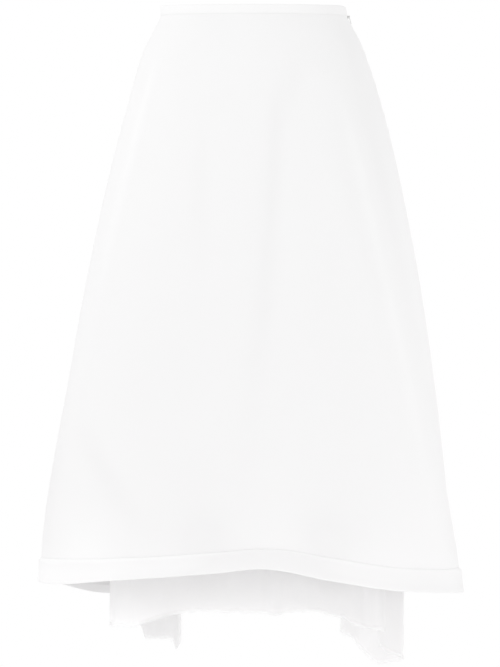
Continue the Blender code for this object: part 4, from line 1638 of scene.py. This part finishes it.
def add_area(name, place, target, size, power, spread=180.0):
    """A rectangular light aimed at a target and hidden from the camera."""
    data = bpy.data.lights.new(name, "AREA")
    data.shape = "RECTANGLE"
    data.size, data.size_y = size
    data.energy = power
    data.spread = math.radians(spread)
    light = bpy.data.objects.new(name, data)
    light.location = place
    aim = Vector(target) - Vector(place)
    light.rotation_euler = aim.to_track_quat("-Z", "Y").to_euler()
    light.visible_camera = False
    bpy.context.scene.collection.objects.link(light)


def floor_material():
    material = bpy.data.materials.new("pale_floor")
    material.use_nodes = True
    shader = material.node_tree.nodes["Principled BSDF"]
    shader.inputs["Base Color"].default_value = (0.9, 0.9, 0.9, 1.0)
    shader.inputs["Roughness"].default_value = 0.95
    return material


class SKIRT_OT_stage(bpy.types.Operator):
    """Sets up the pale floor, the soft studio light and the camera"""

    bl_idname = "skirt.stage"
    bl_label = "Stage, lights and camera"

    def execute(self, context):
        studio = context.scene.skirt_studio
        scene = context.scene
        middle = -(PHOTO_HEIGHT / 2 - WAIST_PIXEL) * METRES_PER_PIXEL
        data = bpy.data.cameras.new("photo_camera")
        data.sensor_width = 36.0
        frame_height = PHOTO_HEIGHT * METRES_PER_PIXEL
        data.lens = data.sensor_width / frame_height * studio.distance
        data.clip_end = 50.0
        camera = bpy.data.objects.new("photo_camera", data)
        camera.location = ((PHOTO_WIDTH / 2 - AXIS_PIXEL) * METRES_PER_PIXEL, -studio.distance, middle)
        camera.rotation_euler = (math.radians(90), 0, 0)
        scene.collection.objects.link(camera)
        scene.camera = camera

        sides = 96
        radius = 3.0
        angles = [2 * math.pi * k / sides for k in range(sides)]
        rim = [(radius * math.cos(a), radius * math.sin(a), -studio.floor_drop) for a in angles]
        floor = add_mesh("studio_floor", rim, [tuple(range(sides))], floor_material(), smooth=False)

        add_area("key_light", (-2.2, -1.5, 0.9), (0, 0, -0.35), (1.4, 1.4), studio.key)
        add_area("fill_light", (2.1, -1.3, -0.95), (0.1, 0, -0.5), (1.2, 0.8), studio.fill)
        add_area(
            "low_strip", (-0.95, -0.85, -0.895), (-0.06, -0.14, -0.88), (1.1, 0.08), studio.strip, 14.0
        )
        add_area("floor_card", (0, -0.2, 0.05 - studio.floor_drop), (0, 0, 0), (1.5, 1.5), studio.card)

        world = bpy.data.worlds.new("white_surround")
        scene.world = world
        world.use_nodes = True
        tree = world.node_tree
        surround = tree.nodes["Background"]
        surround.inputs["Color"].default_value = (1.0, 1.0, 1.0, 1.0)
        surround.inputs["Strength"].default_value = studio.daylight
        white = tree.nodes.new("ShaderNodeBackground")
        white.inputs["Color"].default_value = (1.0, 1.0, 1.0, 1.0)
        white.inputs["Strength"].default_value = 1.0
        seen = tree.nodes.new("ShaderNodeLightPath")
        mix = tree.nodes.new("ShaderNodeMixShader")
        tree.links.new(seen.outputs["Is Camera Ray"], mix.inputs[0])
        tree.links.new(surround.outputs[0], mix.inputs[1])
        tree.links.new(white.outputs[0], mix.inputs[2])
        tree.links.new(mix.outputs[0], tree.nodes["World Output"].inputs["Surface"])
        scene.view_settings.view_transform = "Standard"
        scene.view_settings.gamma = studio.grade
        return {"FINISHED"}


class SKIRT_OT_declare_cloth(bpy.types.Operator):
    """Does nothing."""

    bl_idname = "skirt.declare_cloth"
    bl_label = "State the cut of the cloth"

    def execute(self, context):
        return {"FINISHED"}


class SKIRT_PT_panel(bpy.types.Panel):
    bl_idname = "SKIRT_PT_panel"
    bl_label = "Flared skirt"
    bl_space_type = "VIEW_3D"
    bl_region_type = "UI"
    bl_category = "Skirt"

    def draw(self, context):
        layout = self.layout
        for group in ("skirt_cut", "underskirt_cut", "skirt_finish", "skirt_studio"):
            settings = getattr(context.scene, group)
            box = layout.box()
            for label in settings.bl_rna.properties.keys():
                if label not in ("rna_type", "name"):
                    box.prop(settings, label)
        for operator in OPERATORS:
            layout.operator(operator.bl_idname)


SETTINGS = (
    ("skirt_cut", SkirtCut),
    ("underskirt_cut", UnderskirtCut),
    ("skirt_finish", SkirtFinish),
    ("skirt_studio", SkirtStudio),
)
OPERATORS = (
    SKIRT_OT_stage,
    SKIRT_OT_shell,
    SKIRT_OT_hem_band,
    SKIRT_OT_waistband,
    SKIRT_OT_underskirt,
    SKIRT_OT_loose_threads,
    SKIRT_OT_zip_slider,
    SKIRT_OT_zip_pull_tab,
    SKIRT_OT_zip_chain,
    SKIRT_OT_declare_cloth,
)


def register():
    for name, settings in SETTINGS:
        bpy.utils.register_class(settings)
        setattr(bpy.types.Scene, name, bpy.props.PointerProperty(type=settings))
    for operator in OPERATORS:
        bpy.utils.register_class(operator)
    bpy.utils.register_class(SKIRT_PT_panel)


def unregister():
    bpy.utils.unregister_class(SKIRT_PT_panel)
    for operator in reversed(OPERATORS):
        bpy.utils.unregister_class(operator)
    for name, settings in reversed(SETTINGS):
        delattr(bpy.types.Scene, name)
        bpy.utils.unregister_class(settings)


def main():
    register()
    bpy.ops.skirt.stage()
    bpy.ops.skirt.shell()
    bpy.ops.skirt.hem_band()
    bpy.ops.skirt.waistband()
    bpy.ops.skirt.underskirt()
    bpy.ops.skirt.loose_threads()
    bpy.ops.skirt.zip_slider()
    bpy.ops.skirt.zip_pull_tab()
    bpy.ops.skirt.zip_chain()
    bpy.ops.skirt.declare_cloth()


if __name__ == "__main__":
    main()
